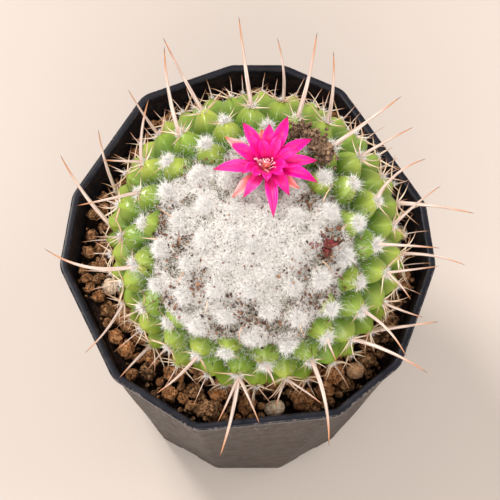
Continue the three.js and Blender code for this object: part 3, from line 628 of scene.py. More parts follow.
def pumice(name, light, brown):
    """Pitted stone, in brown blotches on a lighter ground, with painted shade in its pits."""
    material, tree, shader = new_finish(name, Specular_IOR_Level=0.3, Roughness=0.9)
    surface = effect(tree, CRUMBLE, Size=0.55, Pitting=0.5)
    blotches = effect(tree, MOTTLING, Size=1.3, Contrast=2.4)["Mask"]
    tone = mixed(tree, blotches, light, brown)
    # Painted shade in the pits.
    tone = mixed(tree, sums(tree, "MULTIPLY", surface["Pit_Shade"], 0.7), tone, colour(0.12, 0.07, 0.04))
    varied(tree, shader, Base_Color=tone)
    bumped(tree, shader, surface["Height"], 0.25)
    return material


def cactus_skin():
    """Waxy skin: yellow-green on the swellings, a painted shade of deeper green in the furrows, finely
    speckled.
    """
    material, tree, shader = new_finish(
        "cactus_skin", Specular_IOR_Level=0.25, Subsurface_Weight=0.18, Subsurface_Scale=0.6 * MM,
        Coat_Roughness=0.2,
    )
    shader.inputs["Subsurface Radius"].default_value = (0.8, 1.0, 0.3)
    patchy = effect(tree, MOTTLING, Size=5.0, Contrast=1.8)["Mask"]
    fresh = mixed(tree, mark(tree, "tone"), colour(0.235, 0.34, 0.028), colour(0.40, 0.45, 0.06))
    # deep is painted shade: a deeper green for the furrows between the tubercles.
    deep = mixed(tree, patchy, colour(0.05, 0.13, 0.008), colour(0.095, 0.18, 0.016))
    furrow = ranged(tree, mark(tree, "furrow"), 0.25, 0.95)
    tone = mixed(tree, furrow, fresh, deep)
    tone = mixed(tree, sums(tree, "MULTIPLY", patchy, 0.35), tone, colour(0.14, 0.28, 0.045))
    low = ranged(tree, mark(tree, "polar"), 84.0, 112.0, 0.0, 0.75)
    tone = mixed(tree, low, tone, colour(0.075, 0.18, 0.045))
    pale = effect(tree, SPECKS, Size=0.55, Amount=0.5)["Mask"]
    tone = mixed(tree, sums(tree, "MULTIPLY", pale, 0.14), tone, colour(0.52, 0.62, 0.16))
    matt = ranged(tree, patchy, 0.0, 1.0, 0.3, 0.44)
    wax = ranged(tree, furrow, 0.0, 1.0, 0.5, 0.0)
    varied(tree, shader, Base_Color=tone, Roughness=matt, Coat_Weight=wax)
    cells = add(tree, "TexNoise", {"Vector": in_mm(tree), "Scale": 2.6, "Detail": 3.0})
    bumped(tree, shader, cells.outputs["Fac"], 0.16)
    return material


def spine_horn():
    """Long spines: pinkish cream with fine lengthwise streaks, running to brown and a dark tip."""
    material, tree, shader = new_finish("spine_horn", Roughness=0.5, Specular_IOR_Level=0.3)
    along, around = mark(tree, "along"), mark(tree, "around")
    place = add(tree, "CombineXYZ", {0: sums(tree, "MULTIPLY", along, 1.5), 1: around, 2: mark(tree, "tone")})
    streak = add(tree, "TexNoise", {"Vector": place.outputs[0], "Scale": 2.6, "Detail": 3.0}).outputs["Fac"]
    body = mixed(tree, ranged(tree, streak, 0.35, 0.65), colour(0.80, 0.68, 0.61), colour(0.47, 0.30, 0.24))
    brown_from = sums(tree, "SUBTRACT", 0.62, sums(tree, "MULTIPLY", mark(tree, "tone"), 0.15))
    tan = ranged(tree, along, brown_from, 0.94)
    tone = mixed(tree, tan, body, colour(0.55, 0.24, 0.11))
    tone = mixed(tree, ranged(tree, along, 0.9, 0.99), tone, colour(0.09, 0.035, 0.025))
    tone = mixed(tree, ranged(tree, along, 0.0, 0.16, 0.75, 0.0), tone, colour(0.42, 0.19, 0.09))
    varied(tree, shader, Base_Color=tone)
    bumped(tree, shader, streak, 0.14)
    return material


def bristle_horn():
    """Thin spines: cream, with brown tips."""
    material, tree, shader = new_finish("bristle_horn", Roughness=0.5, Specular_IOR_Level=0.4)
    along = mark(tree, "along")
    body = mixed(tree, mark(tree, "tone"), colour(0.86, 0.72, 0.56), colour(0.60, 0.38, 0.24))
    tone = mixed(tree, ranged(tree, along, 0.45, 0.95), body, colour(0.38, 0.15, 0.07))
    varied(tree, shader, Base_Color=tone)
    return material


def wool_finish(name, root, tip, dull):
    """Plant wool: shaded at its roots, pale at its ends, some strands duller than others."""
    material, tree, shader = new_finish(name, Roughness=0.75, Specular_IOR_Level=0.25, Sheen_Weight=0.3)
    body = mixed(tree, ranged(tree, mark(tree, "along"), 0.0, 0.55), root, tip)
    dullness = ranged(tree, mark(tree, "tone"), 0.55, 1.0, 0.0, 0.75)
    varied(tree, shader, Base_Color=mixed(tree, dullness, body, dull))
    return material


def crown_felt_finish():
    """The matted floor of the wool: pale, with pinholes painted near black as shade, and painted dark
    greenish shade in the hollows.
    """
    material, tree, shader = new_finish("crown_felt", Roughness=0.95, Specular_IOR_Level=0.1)
    hollow = mark(tree, "hollow")
    fine = effect(tree, MOTTLING, Size=0.6, Contrast=3.0)["Mask"]
    matted = mixed(tree, fine, colour(0.46, 0.42, 0.38), colour(0.86, 0.82, 0.78))
    # Painted shade: the hollows between the tufts are painted dark greenish.
    deep = mixed(tree, fine, colour(0.06, 0.055, 0.03), colour(0.40, 0.365, 0.285))
    tone = mixed(tree, ranged(tree, hollow, 0.45, 1.0), matted, deep)
    amount = ranged(tree, hollow, 0.0, 0.7, 0.45, 0.75)
    # Painted shade: pinholes painted near black, more of them in the hollows.
    holes = effect(tree, SPECKS, Size=0.8, Amount=amount)["Mask"]
    tone = mixed(tree, holes, tone, colour(0.04, 0.035, 0.02))
    varied(tree, shader, Base_Color=tone)
    bumped(tree, shader, fine, 0.3)
    return material


def crumb_finish():
    """Dry crumbs in the wool: rust, brown and nearly black."""
    material, tree, shader = new_finish("dry_crumbs", Roughness=0.85, Specular_IOR_Level=0.3)
    which = mark(tree, "tone")
    tone = mixed(tree, ranged(tree, which, 0.0, 0.5), colour(0.022, 0.010, 0.007), colour(0.15, 0.062, 0.030))
    tone = mixed(tree, ranged(tree, which, 0.5, 1.0), tone, colour(0.36, 0.18, 0.095))
    varied(tree, shader, Base_Color=tone)
    return material


def petal_finish(name, middle, edge, tip, pale):
    """Satin petals: one tone along the middle, another to the edges that is a painted violet sheen, with fine
    lengthwise veins and a pale painted sheen along them on some petals.
    """
    material, tree, shader = new_finish(
        name, Roughness=0.36, Specular_IOR_Level=0.35, Subsurface_Weight=0.25, Subsurface_Scale=0.8 * MM,
    )
    shader.inputs["Subsurface Radius"].default_value = (1.0, 0.3, 0.6)
    along, across = mark(tree, "along"), mark(tree, "across")
    place = add(tree, "CombineXYZ", {0: along, 1: sums(tree, "MULTIPLY", across, 7.0), 2: mark(tree, "tone")})
    veins = add(tree, "TexNoise", {"Vector": place.outputs[0], "Scale": 2.2, "Detail": 2.0}).outputs["Fac"]
    out = ranged(tree, add(tree, "Math", {0: across}, operation="ABSOLUTE").outputs[0], 0.1, 0.9)
    # The edge tone is a painted violet sheen.
    tone = mixed(tree, out, middle, edge)
    # The pale tone along the veins is a painted sheen.
    lit = sums(tree, "MULTIPLY", ranged(tree, veins, 0.45, 0.75), mark(tree, "pale"))
    tone = mixed(tree, lit, tone, pale)
    tone = mixed(tree, ranged(tree, along, 0.05, 0.45, 0.55, 0.0), tone, tip)
    tone = mixed(tree, ranged(tree, along, 0.84, 1.0), tone, tip)
    varied(tree, shader, Base_Color=tone)
    bumped(tree, shader, veins, 0.12)
    return material


def plain_tinted(name, first, second, roughness, size=0.8):
    """A fleshy or papery tissue that mottles between two tones, in blotches of a size in mm."""
    material, tree, shader = new_finish(name, Roughness=roughness, Specular_IOR_Level=0.35)
    blotches = effect(tree, MOTTLING, Size=size, Contrast=2.6)["Mask"]
    varied(tree, shader, Base_Color=mixed(tree, blotches, first, second))
    bumped(tree, shader, blotches, 0.08)
    return material


# ------------------------------------------------------------------ pot


def outline(sides, corner_radius, inset):
    """A twelve-sided outline with rounded corners, drawn in by an inset."""
    radius = max(corner_radius - inset, POT.least_corner)
    arcs = []
    for i, (bearing, reach) in enumerate(sides):
        following, next_reach = sides[(i + 1) % len(sides)]
        a, b = math.radians(bearing), math.radians(following + 360 * (following < bearing))
        # Moved in by the corner's radius, the two sides cross at the centre of its arc.
        p, q = reach - inset - radius, next_reach - inset - radius
        x = (p * math.sin(b) - q * math.sin(a)) / math.sin(b - a)
        y = (q * math.cos(a) - p * math.cos(b)) / math.sin(b - a)
        turns = np.linspace(a, b, POT.corner_points)
        arcs.append(np.stack([x + radius * np.cos(turns), y + radius * np.sin(turns)], axis=1))
    ring = []
    for arc, following in zip(arcs, arcs[1:] + arcs[:1]):
        shares = (np.arange(POT.side_points) + 1)[:, None] / (POT.side_points + 1)
        ring += [arc, lerp(arc[-1], following[0], shares)]
    return np.concatenate(ring)


FOOT_SIDES = [(360 * i / len(RIM_SIDES), POT.foot_reach) for i in range(len(RIM_SIDES))]
FOOT_CORNER = POT.corner_radius * POT.foot_reach / POT.rim_reach


def outline_at(inset, z):
    """The pot's outline at a height, straight from the foot's to the rim's."""
    foot = outline(FOOT_SIDES, FOOT_CORNER, inset)
    rim = outline(RIM_SIDES, POT.corner_radius, inset)
    return lerp(foot, rim, z / POT.height)


def room_inside(x, y, z):
    """Distance from a point to the nearest side of the pot, inside the outline at its height."""
    t, rooms = z / POT.height, []
    for (foot_bearing, _), (bearing, reach) in zip(FOOT_SIDES, RIM_SIDES):
        b = math.radians(lerp(foot_bearing, bearing, t))
        rooms.append(lerp(POT.foot_reach, reach, t) - x * math.cos(b) - y * math.sin(b))
    return min(rooms)


def pot_profile():
    """Inset, height, pale edge (scuffs, dust and a painted highlight) and inside of each station, from under
    the foot over the lip to the floor.
    """
    chamfer, top, lip_top = POT.foot_chamfer, POT.height - LIP.height, POT.height
    inner, r = LIP.proud + POT.wall, LIP.rounding
    foot = [(LIP.proud + chamfer * (1 - math.sin(t)), chamfer * (1 - math.cos(t)))
            for t in np.linspace(0, math.pi / 2, 5)]
    wall = [(LIP.proud, z) for z in np.linspace(chamfer + 2, top - 1.2, 16)]
    under = [(LIP.proud, top - 0.25), (LIP.proud - 0.12, top), (0.18, top + 0.05), (0.0, top + 0.3)]
    bend = [(1 - math.cos(t), 1 - math.sin(t)) for t in np.linspace(0, math.pi / 2, 5)]
    # The pale edge peaks on the lip's rounded outer and inner edges: scuffs there, and a painted highlight.
    outer = [(r * out, lip_top - r * down, 1 - 2.2 * abs(out - 0.3)) for out, down in bend]
    back = [(inner - r * out, lip_top - r * down, 0.2 - abs(out - 0.3)) for out, down in bend[::-1]]
    inside = [(inner, z) for z in np.linspace(lip_top - 2, POT.floor, 12)]
    stations = [(inset, z, 0.1, 0) for inset, z in foot] + [(inset, z, 0, 0) for inset, z in wall]
    stations += [(inset, z, 0.35, 0) for inset, z in under]
    stations += [(inset, z, max(scuff_and_glint, 0), 0) for inset, z, scuff_and_glint in outer]
    stations += [(inset, z, max(scuff_and_glint, 0), 0.3) for inset, z, scuff_and_glint in back]
    return stations + [(inset, z, 0, 1) for inset, z in inside]


def pot_shape():
    """The shell, with flats that bow a little and a rolled lip."""
    stations = pot_profile()
    rings = []
    for inset, z, _, _ in stations:
        ring = outline_at(inset, z)
        place = np.column_stack([ring, np.full(len(ring), z)])
        bowed = BOW.depth * grain(place, BOW.length, seed=3, octaves=1)
        sway = bowed * smoothstep(z, 1.0, 8.0)
        rings.append(place + unit(place * (1, 1, 0)) * np.minimum(sway, BOW.most)[:, None])
    columns = len(rings[0])
    centres = np.array([[0, 0, stations[0][1]], [0, 0, stations[-1][1]]])
    points = np.concatenate(rings + [centres])
    first, last = len(points) - 2, len(points) - 1
    top = (len(stations) - 1) * columns
    faces = [net(len(stations), columns), fan(np.arange(columns)[::-1], first)]
    faces.append(fan(top + np.arange(columns), last))
    edge = np.append(np.repeat([s[2] for s in stations], columns), [0, 0])
    inside = np.append(np.repeat([s[3] for s in stations], columns), [0, 1])
    return Shape(points, faces, edge=edge, inside=inside)


def cut_drains(pot):
    """Cuts the half-round drain slots into the foot's edge, and keeps the pot's creases sharp."""
    bm = bmesh.new()
    for side in DRAIN.sides:
        bearing, reach = FOOT_SIDES[side]
        distance = reach - LIP.proud - DRAIN.inset
        place = Vector((*(direction(bearing, 90)[:2] * distance), (DRAIN.height - DRAIN.below) / 2)) * MM
        bmesh.ops.create_cone(
            bm, cap_ends=True, segments=32, radius1=DRAIN.radius * MM, radius2=DRAIN.radius * MM,
            depth=(DRAIN.height + DRAIN.below) * MM, matrix=Matrix.Translation(place),
        )
    mesh = bpy.data.meshes.new("drain_slots")
    bm.to_mesh(mesh)
    bm.free()
    cutter = bpy.data.objects.new("drain_slots", mesh)
    bpy.context.scene.collection.objects.link(cutter)
    cut = pot.modifiers.new("drains", "BOOLEAN")
    cut.operation, cut.solver, cut.object = "DIFFERENCE", "EXACT", cutter
    shaped = bpy.data.meshes.new_from_object(pot.evaluated_get(bpy.context.evaluated_depsgraph_get()))
    pot.modifiers.clear()
    pot.data = shaped
    pot.data.set_sharp_from_angle(angle=math.radians(40))
    bpy.data.objects.remove(cutter)


def make_pot():
    """The pot, of one plastic outside up to the lip, and another on the lip and inside."""
    pot = piece("pot_shell", pot_wall_plastic(), pot_shape(), ["pot"])
    cut_drains(pot)
    pot.data.materials.append(pot_lip_plastic())
    for face in pot.data.polygons:
        outward = face.normal.x * face.center.x + face.normal.y * face.center.y > 0
        below_lip = face.center.z < (POT.height - LIP.height) * MM
        face.material_index = 0 if outward and below_lip else 1


# ------------------------------------------------------------------ soil, granules and stones


def heap_at(x, y):
    """How much higher the soil lies towards the back and the left of the pot."""
    leftward = HEAP.left_share * smoothstep(-x, *HEAP.left)
    return HEAP.height * np.maximum(smoothstep(y, *HEAP.back), leftward)


def soil_shape():
    """The bed under the granules: an uneven top with a hollow for the plant, down to the pot's floor."""
    low = POT.floor + GAP
    hole = CACTUS.core + SOIL.plant_room
    edge = outline_at(SOIL_INSET, SOIL.level)
    rings = []
    for share in [0.02, *np.linspace(0.06, 1, SOIL.rings)]:
        place = np.column_stack([edge * share, np.full(len(edge), float(SOIL.level))])
        uneven = SOIL.relief * grain(place, SOIL.lump, seed=12) * (share < SOIL.plain_from)
        place[:, 2] += uneven - SOIL.below_granules
        place[:, 2] += heap_at(place[:, 0], place[:, 1])
        flat = np.hypot(place[:, 0] - CENTRE[0], place[:, 1] - CENTRE[1])
        hollow = CENTRE[2] - np.sqrt(np.maximum(hole**2 - flat**2, 0))
        place[:, 2] = np.where(flat < hole, np.minimum(place[:, 2], hollow), place[:, 2])
        rings.append(place)
    for z in (SOIL.level - 2, low):
        ring = outline_at(SOIL_INSET, z)
        rings.append(np.column_stack([ring, np.full(len(ring), z)]))
    columns = len(edge)
    points = np.concatenate(rings + [[[0, 0, rings[0][:, 2].mean()], [0, 0, low]]])
    top, bottom = len(points) - 2, len(points) - 1
    last = (len(rings) - 1) * columns
    faces = [net(len(rings), columns)[:, ::-1], fan(np.arange(columns), top)]
    faces.append(fan(last + np.arange(columns)[::-1], bottom))
    return Shape(points, faces, tone=0.15)


def granule_places():
    """The large granules, spread over the open soil by the part's own seeded rule."""
    draw = part_stream(7)
    places = []
    for _ in range(LARGE.tries):
        if len(places) == LARGE.number:
            break
        x, y = lerp(*OPENING.x, next(draw)), lerp(*OPENING.y, next(draw))
        radius = lerp(*LARGE.radius, next(draw))
        z = SOIL.level + radius * LARGE.sink
        if room_inside(x, y, z) - SOIL_INSET < radius * LARGE.wall_room:
            continue
        from_plant = CACTUS.tip + radius * LARGE.plant_room - LARGE.under_plant
        if math.dist((x, y, z), CACTUS.centre) < from_plant:
            continue
        if any(math.dist((x, y), stone[:2]) < (stone[2] + radius) * LARGE.stone_room for stone in STONES):
            continue
        if any(math.dist((x, y), p[:2]) < (p[3] + radius) * LARGE.spacing for p in places):
            continue
        places.append((x, y, z, radius))
    return places


def filling_places(taken, kind, rng):
    """Smaller granules of a kind, in what room the ones already there leave."""
    places = list(taken)
    made = []
    for _ in range(kind.number * FILLING.tries):
        if len(made) == kind.number:
            break
        x, y = rng.uniform(*OPENING.x), rng.uniform(kind.front, OPENING.y[1])
        radius = rng.uniform(*kind.radius)
        z = SOIL.level - kind.deep + radius * rng.uniform(*FILLING.sink) + heap_at(x, y)
        if room_inside(x, y, z) - SOIL_INSET < radius * FILLING.wall_room:
            continue
        if math.dist((x, y, z), CACTUS.centre) < CACTUS.tip + radius - FILLING.under_plant:
            continue
        if any(math.dist((x, y), stone[:2]) < stone[2] + radius * FILLING.stone_room for stone in STONES):
            continue
        near = np.array(places)
        if (np.hypot(near[:, 0] - x, near[:, 1] - y) < (near[:, 3] + radius) * kind.spacing).any():
            continue
        places.append((x, y, z, radius))
        made.append(places[-1])
    return made


def granule_shape(places, subdivisions, seed):
    """Pitted granules at their places, each with a tone of its own."""
    table = np.array(places)
    rng = np.random.default_rng(seed)
    made = lumps(table[:, :3], table[:, 3], rng, subdivisions, rough=0.3, lump_size=0.5, pit=0.24)
    # The finest ones lie deep between the others, painted dark as shade in the gaps.
    shade = np.interp(table[:, 3], GAP_SHADE.radius, GAP_SHADE.shade)
    made.marks["tone"] = made.marks["tone"] * np.repeat(shade, len(made.points) // len(table))
    return made


def make_soil():
    """The bed of potting mix and the baked-clay granules on it, large, middling and small."""
    rng = np.random.default_rng(31)
    clay = baked_clay("baked_clay", dark=colour(0.035, 0.012, 0.004), warm=colour(0.47, 0.18, 0.058),
                      dusty=colour(0.88, 0.49, 0.24))
    # The bed is painted nearly black: painted shade in the gaps between the granules.
    bed = baked_clay("potting_mix_painted_shade", dark=colour(0.008, 0.0035, 0.002), warm=colour(0.025, 0.011, 0.006),
                     dusty=colour(0.07, 0.034, 0.02))
    large = granule_places()
    middling = filling_places(large, MIDDLING, rng)
    middling += filling_places(large + middling, BEHIND, rng)
    small = filling_places(large + middling, SMALL, rng)
    piece("soil_bed", bed, soil_shape(), ["soil"])
    half = len(large) // 2
    for name, places, fineness, seed in (
        ("large_1", large[:half], 4, 41), ("large_2", large[half:], 4, 44),
        ("middling", middling, 3, 42), ("small", small, 2, 43),
    ):
        piece(f"granules_{name}", clay, granule_shape(places, fineness, seed), ["soil"])


def make_stones():
    """The pumice stones among the granules."""
    finishes = dict(
        pale=pumice("pumice", light=colour(0.82, 0.67, 0.51), brown=colour(0.44, 0.27, 0.16)),
        tan=pumice("tan_pumice", light=colour(0.60, 0.36, 0.20), brown=colour(0.34, 0.17, 0.08)),
    )
    for i, (x, y, radius, tone) in enumerate(STONES):
        rng = np.random.default_rng(60 + i)
        shape = lumps([(x, y, SOIL.level + STONE_LIFT)], [radius], rng, 5, rough=0.1, lump_size=0.9, pit=0.12)
        piece(f"pumice_{i + 1}", finishes[tone], shape, [f"pale_stone_{i + 1}"])


# ------------------------------------------------------------------ the plant's form


def wool_edge(bearing):
    """Polar angle of the wool's margin: lower in front and on the left, and wavy."""
    b = np.radians(bearing)
    leftward = WOOL.left * np.cos(b - math.radians(WOOL.left_bearing))
    return WOOL.edge + leftward - WOOL.forward * np.sin(b) + WOOL.wave * np.sin(WOOL.waves * b + 1)


FLOWER_UNIT = direction(FLOWER.bearing, FLOWER.polar)


def make_areoles():
    """Every areole of the spiral, the lift of its tubercle out of the wool, and its whole swelling."""
    n = np.arange(SPIRAL.most)
    polar = 90 * ((n + 0.5) / SPIRAL.to_equator) ** SPIRAL.spread
    n, polar = n[polar <= SPIRAL.lowest], polar[polar <= SPIRAL.lowest]
    bearing = SPIRAL.first + SPIRAL.turn * n
    units = direction(bearing, polar)
    height = in_world(units * CACTUS.tip)[:, 2]
    edge = wool_edge(bearing)
    unburied = smoothstep(height, BURIED.start, BURIED.clear)
    rise = smoothstep(polar, edge - WOOL.fade, edge + 1) * unburied
    under_wool = unburied * smoothstep(polar, edge - WOOL.swell_from, edge - WOOL.swell_to)
    off_flower = np.degrees(np.arccos(np.clip(units @ FLOWER_UNIT, -1, 1)))
    room = smoothstep(off_flower, *FLOWER.axil) * (CACTUS.tip - CACTUS.core)
    return Sizes(unit=units, polar=polar, height=height, number=len(n), lift=rise * room,
                 swell=under_wool * room, off_flower=off_flower)


AREOLES = make_areoles()
UNDERSIDE = np.concatenate(
    [direction(360 * np.arange(count) / count + polar, polar) for polar, count in UNDERSIDE_RINGS]
    + [direction(np.zeros(1), np.full(1, 180.0))]
)


def squared_angles(first, second):
    """The square of the angle from each first unit direction to each second one."""
    return np.arccos(np.clip(first @ second.T, -1, 1)) ** 2


AREOLE_GAPS = squared_angles(AREOLES.unit, AREOLES.unit) + np.eye(AREOLES.number)
TUBERCLE_TONE = np.random.default_rng(2).random(AREOLES.number)
TUFT_SIZE = np.random.default_rng(16).uniform(*TUFTS.size, AREOLES.number)


def skin_at(units):
    """Radius of the skin in each direction, how near its furrow that lies, and whose tubercle it is."""
    radius, furrow, owner = np.empty(len(units)), np.empty(len(units)), np.empty(len(units), int)
    batch = 4096
    for start in range(0, len(units), batch):
        some = slice(start, min(start + batch, len(units)))
        rows = np.arange(some.stop - start)
        away = squared_angles(units[some], AREOLES.unit)
        own = away.argmin(axis=1)
        nearest = away[rows, own]
        to_edge = 1 + (nearest[:, None] - away) / AREOLE_GAPS[own]
        to_edge[rows, own] = 0
        rounded = np.sqrt(nearest) * CACTUS.tip / TUBERCLE.corner
        t = np.clip(lerp(to_edge.max(axis=1), rounded, TUBERCLE.roundness), 0, 1)
        weight = np.exp(-away * (CACTUS.tip / TUBERCLE.blend) ** 2) + 1e-12
        lift = (weight @ AREOLES.swell) / weight.sum(axis=1)
        radius[some] = CACTUS.core + lift * (1 - t**TUBERCLE.fullness) ** TUBERCLE.steepness
        furrow[some], owner[some] = t, own
    return radius, furrow, owner


def triangles_round(units):
    """Triangles of the closed surface whose corners lie in the given directions."""
    bm = bmesh.new()
    for place in units:
        bm.verts.new(place)
    bm.verts.index_update()
    hull = bmesh.ops.convex_hull(bm, input=bm.verts)
    bm.normal_update()
    faces = [item for item in hull["geom"] if isinstance(item, bmesh.types.BMFace)]
    triangles = []
    for face in faces:
        corners = [v.index for v in face.verts]
        if face.normal.dot(face.calc_center_median()) < 0:
            corners.reverse()
        triangles.append(corners)
    bm.free()
    return np.array(triangles)


def wedges_round(units):
    """Triangles from each direction to the valleys round it, which together cover the ball."""
    triangles = triangles_round(units)
    a, b, c = (units[triangles[:, k]] for k in range(3))
    valleys = unit(np.cross(b - a, c - a))
    lies_left = {(t[k], t[(k + 1) % 3]): i for i, t in enumerate(triangles.tolist()) for k in range(3)}
    rows = [(i, lies_left[j, i], t) for (i, j), t in lies_left.items()]
    own, right, left = np.array(rows).T
    return units[own], valleys[right], valleys[left]


def body_shape():
    """The skin all round, its faces lined up with the furrows between the tubercles."""
    tips, rights, lefts = wedges_round(np.concatenate([AREOLES.unit, UNDERSIDE]))
    splits, number = SKIN.splits, {}
    for i in range(splits + 1):
        for j in range(splits + 1 - i):
            number[i, j] = len(number)
    shares = np.array(list(number)) / splits
    to_tip = (1 - shares.sum(axis=1))[:, None]
    places = to_tip * tips[:, None] + shares[:, :1] * rights[:, None] + shares[:, 1:] * lefts[:, None]
    units = unit(places.reshape(-1, 3))
    pattern = []
    for i in range(splits):
        for j in range(splits - i):
            pattern.append((number[i, j], number[i + 1, j], number[i, j + 1]))
            if (i + 1, j + 1) in number:
                pattern.append((number[i + 1, j], number[i + 1, j + 1], number[i, j + 1]))
    radius, furrow, owner = skin_at(units)
    radius = radius + SKIN.relief * grain(units * CACTUS.tip, SKIN.lump, seed=8, octaves=2)
    _, polar = bearing_and_polar(units)
    faces = [repeated(np.array(pattern), len(number), len(tips))]
    marks = dict(furrow=furrow, polar=polar, tone=TUBERCLE_TONE[owner])
    return Shape(in_world(units * radius[:, None]), faces, **marks)


def make_body():
    """The green body with its tubercles."""
    body = piece("cactus_body", cactus_skin(), body_shape(), ["cactus"])
    weld(body, SKIN.seam)


# ------------------------------------------------------------------ spines


def stands_clear(base, aim, length, kind):
    """Whether a spine of a kind keeps clear of the pot, the granules and the clod."""
    for share in (0, 0.3, 0.55, 0.8, 1):
        x, y, z = in_world(base + aim * length * share)
        if z < SOIL.level + kind.over_soil:
            return False
        if z < POT.height + kind.over_rim and room_inside(x, y, min(z, POT.height)) < kind.side_room:
            return False
        for bearing, polar, height, radius in CLOD:
            centre = in_world(direction(bearing, polar) * (CACTUS.core + height))
            if math.dist((x, y, z), centre) < radius * 1.25 + 0.8:
                return False
    return True


def aimed_spines():
    """Areole, aim, length, radius and bow of each: those listed, then a short one on the other
    areoles, shorter still behind."""
    draw = part_stream(11)
    rows = [(n, direction(bearing, 90 - rise), length, SPINE.radius, direction(bearing + 90, 90) * bow)
            for n, bearing, rise, length, bow in LONG_SPINES]
    listed = {n for n, *_ in LONG_SPINES}
    for n in range(AREOLES.number):
        if SPINE.polar[0] <= AREOLES.polar[n] <= SPINE.polar[1] and n not in listed:
            aim = besides(AREOLES.unit[n], math.radians(SPINE.short_lean) * next(draw), 6 * next(draw))
            behind = smoothstep(AREOLES.unit[n, 1], -0.1, 0.4)
            length = lerp(*SPINE.short_length, next(draw)) * lerp(1, SPINE.behind, behind)
            rows.append((n, aim, length, SPINE.short_radius, np.zeros(3)))
    return rows


def long_spine_shape():
    """The central spines: as many to an areole as are listed, and one on the others."""
    up = UP @ LEAN
    rows = []
    for n, aim, length, radius, bow in aimed_spines():
        base = AREOLES.unit[n] * CACTUS.tip
        # A low spine turns up until it passes over the rim.
        for _ in range(SPINE.tries_upward):
            if stands_clear(base, aim, length, SPINE):
                break
            aim = unit(aim + up * SPINE.step_upward)
        clear = stands_clear(base, aim, length, SPINE)
        if AREOLES.lift[n] >= SPINE.least_lift and AREOLES.height[n] >= SPINE.lowest and clear:
            rows.append((base, aim, length, radius, bow))
    rng = np.random.default_rng(12)
    bases, aims, lengths, radii, bows = (np.array(column) for column in zip(*rows))
    sideways = besides(aims, np.full(len(rows), np.pi / 2), rng.uniform(0, 6.3, len(rows)))
    bows = bows + sideways * SPINE.waver
    radii = radii * np.clip(lengths / SPINE.usual_length, 0.75, 1.08) * rng.uniform(0.88, 1.05, len(rows))
    return strands(in_world(bases - aims * SPINE.root), aims @ LEAN.T, lengths + SPINE.root, radii,
                   bows @ LEAN.T, sides=10, steps=18, taper=0.58, tone=rng.random(len(rows)))


def bristle_shape():
    """The thin spines that ring each areole: eight or nine, fewer and shorter near the wool, and fewer
    low down behind."""
    rng = np.random.default_rng(13)
    roots, aims, lengths = [], [], []
    for n in range(AREOLES.number):
        polar = AREOLES.polar[n]
        if not RADIAL.polar[0] <= polar <= RADIAL.polar[1]:
            continue
        if AREOLES.lift[n] < RADIAL.least_lift or AREOLES.height[n] < RADIAL.lowest:
            continue
        grown = smoothstep(polar, 46, 66)
        behind = smoothstep(polar, 70, 86) * smoothstep(AREOLES.unit[n, 1], -0.45, 0.15)
        count = int(lerp(*RADIAL.number, grown) - RADIAL.fewer_behind * behind + rng.random())
        start = rng.uniform(0, 6.3)
        for k in range(count):
            turn = start + 2 * np.pi * k / count + rng.normal(0, 0.25)
            aim = besides(AREOLES.unit[n], math.radians(rng.uniform(*RADIAL.lean)), turn)
            length = lerp(*RADIAL.length, rng.random()) * lerp(0.55, 1.1, grown)
            base = AREOLES.unit[n] * CACTUS.tip + aim * 0.4
            if stands_clear(base, aim, length, RADIAL):
                roots.append(base - AREOLES.unit[n] * 0.7)
                aims.append(aim)
                lengths.append(length)
    roots, aims, lengths = np.array(roots), np.array(aims), np.array(lengths)
    bows = rng.normal(0, 0.3, roots.shape) * (lengths / 6)[:, None]
    radii = RADIAL.radius * rng.uniform(0.75, 1.15, len(roots)) * np.clip(lengths / 5, 0.6, 1.1)
    return strands(in_world(roots), aims @ LEAN.T, lengths, radii, bows, sides=6, steps=6, taper=0.8,
                   tone=rng.random(len(roots)))


def wool_spine_shape():
    """Slim spines that stand out of the wool."""
    rng = np.random.default_rng(14)
    table = np.array(WOOL_SPINES, float)
    units = direction(table[:, 0], table[:, 1])
    aims = unit(direction(table[:, 2], np.full(len(table), 90.0)) + units * 0.5)
    bows = rng.normal(0, 0.25, units.shape)
    return strands(in_world(units * (WOOL.radius + 0.6)), aims @ LEAN.T, table[:, 3], 0.19, bows, sides=6,
                   steps=8, taper=0.8, tone=rng.random(len(table)))


def make_spines():
    """The long spines, the thin ones round them, and those in the wool."""
    piece("long_spines", spine_horn(), long_spine_shape(), ["cactus"])
    piece("radial_spines", bristle_horn(), bristle_shape(), ["cactus"])
    piece("wool_spines", bristle_horn(), wool_spine_shape(), ["crown_wool"])


# ------------------------------------------------------------------ wool


def nearest_tuft(units):
    """Which areole is nearest in each direction, and how far off it is in mm."""
    nearest, distance = np.empty(len(units), int), np.empty(len(units))
    batch = 8192
    for start in range(0, len(units), batch):
        some = slice(start, start + batch)
        away = squared_angles(units[some], AREOLES.unit)
        nearest[some] = away.argmin(axis=1)
        distance[some] = np.sqrt(away.min(axis=1)) * CACTUS.tip
    return nearest, distance


def hollow_share(units):
    """How deep in a hollow between the tufts each direction lies; the crown's middle is filled."""
    _, polar = bearing_and_polar(units)
    _, distance = nearest_tuft(units)
    patchy = grain(units * CACTUS.tip, 4.0, seed=28, octaves=3)
    filled = smoothstep(polar, 10, 30)
    open_here = smoothstep(distance + 1.7 * patchy, 2.6, 5.0)
    return np.clip(open_here * lerp(0.25, 1.0, filled) + 0.18 * patchy, 0, 1)


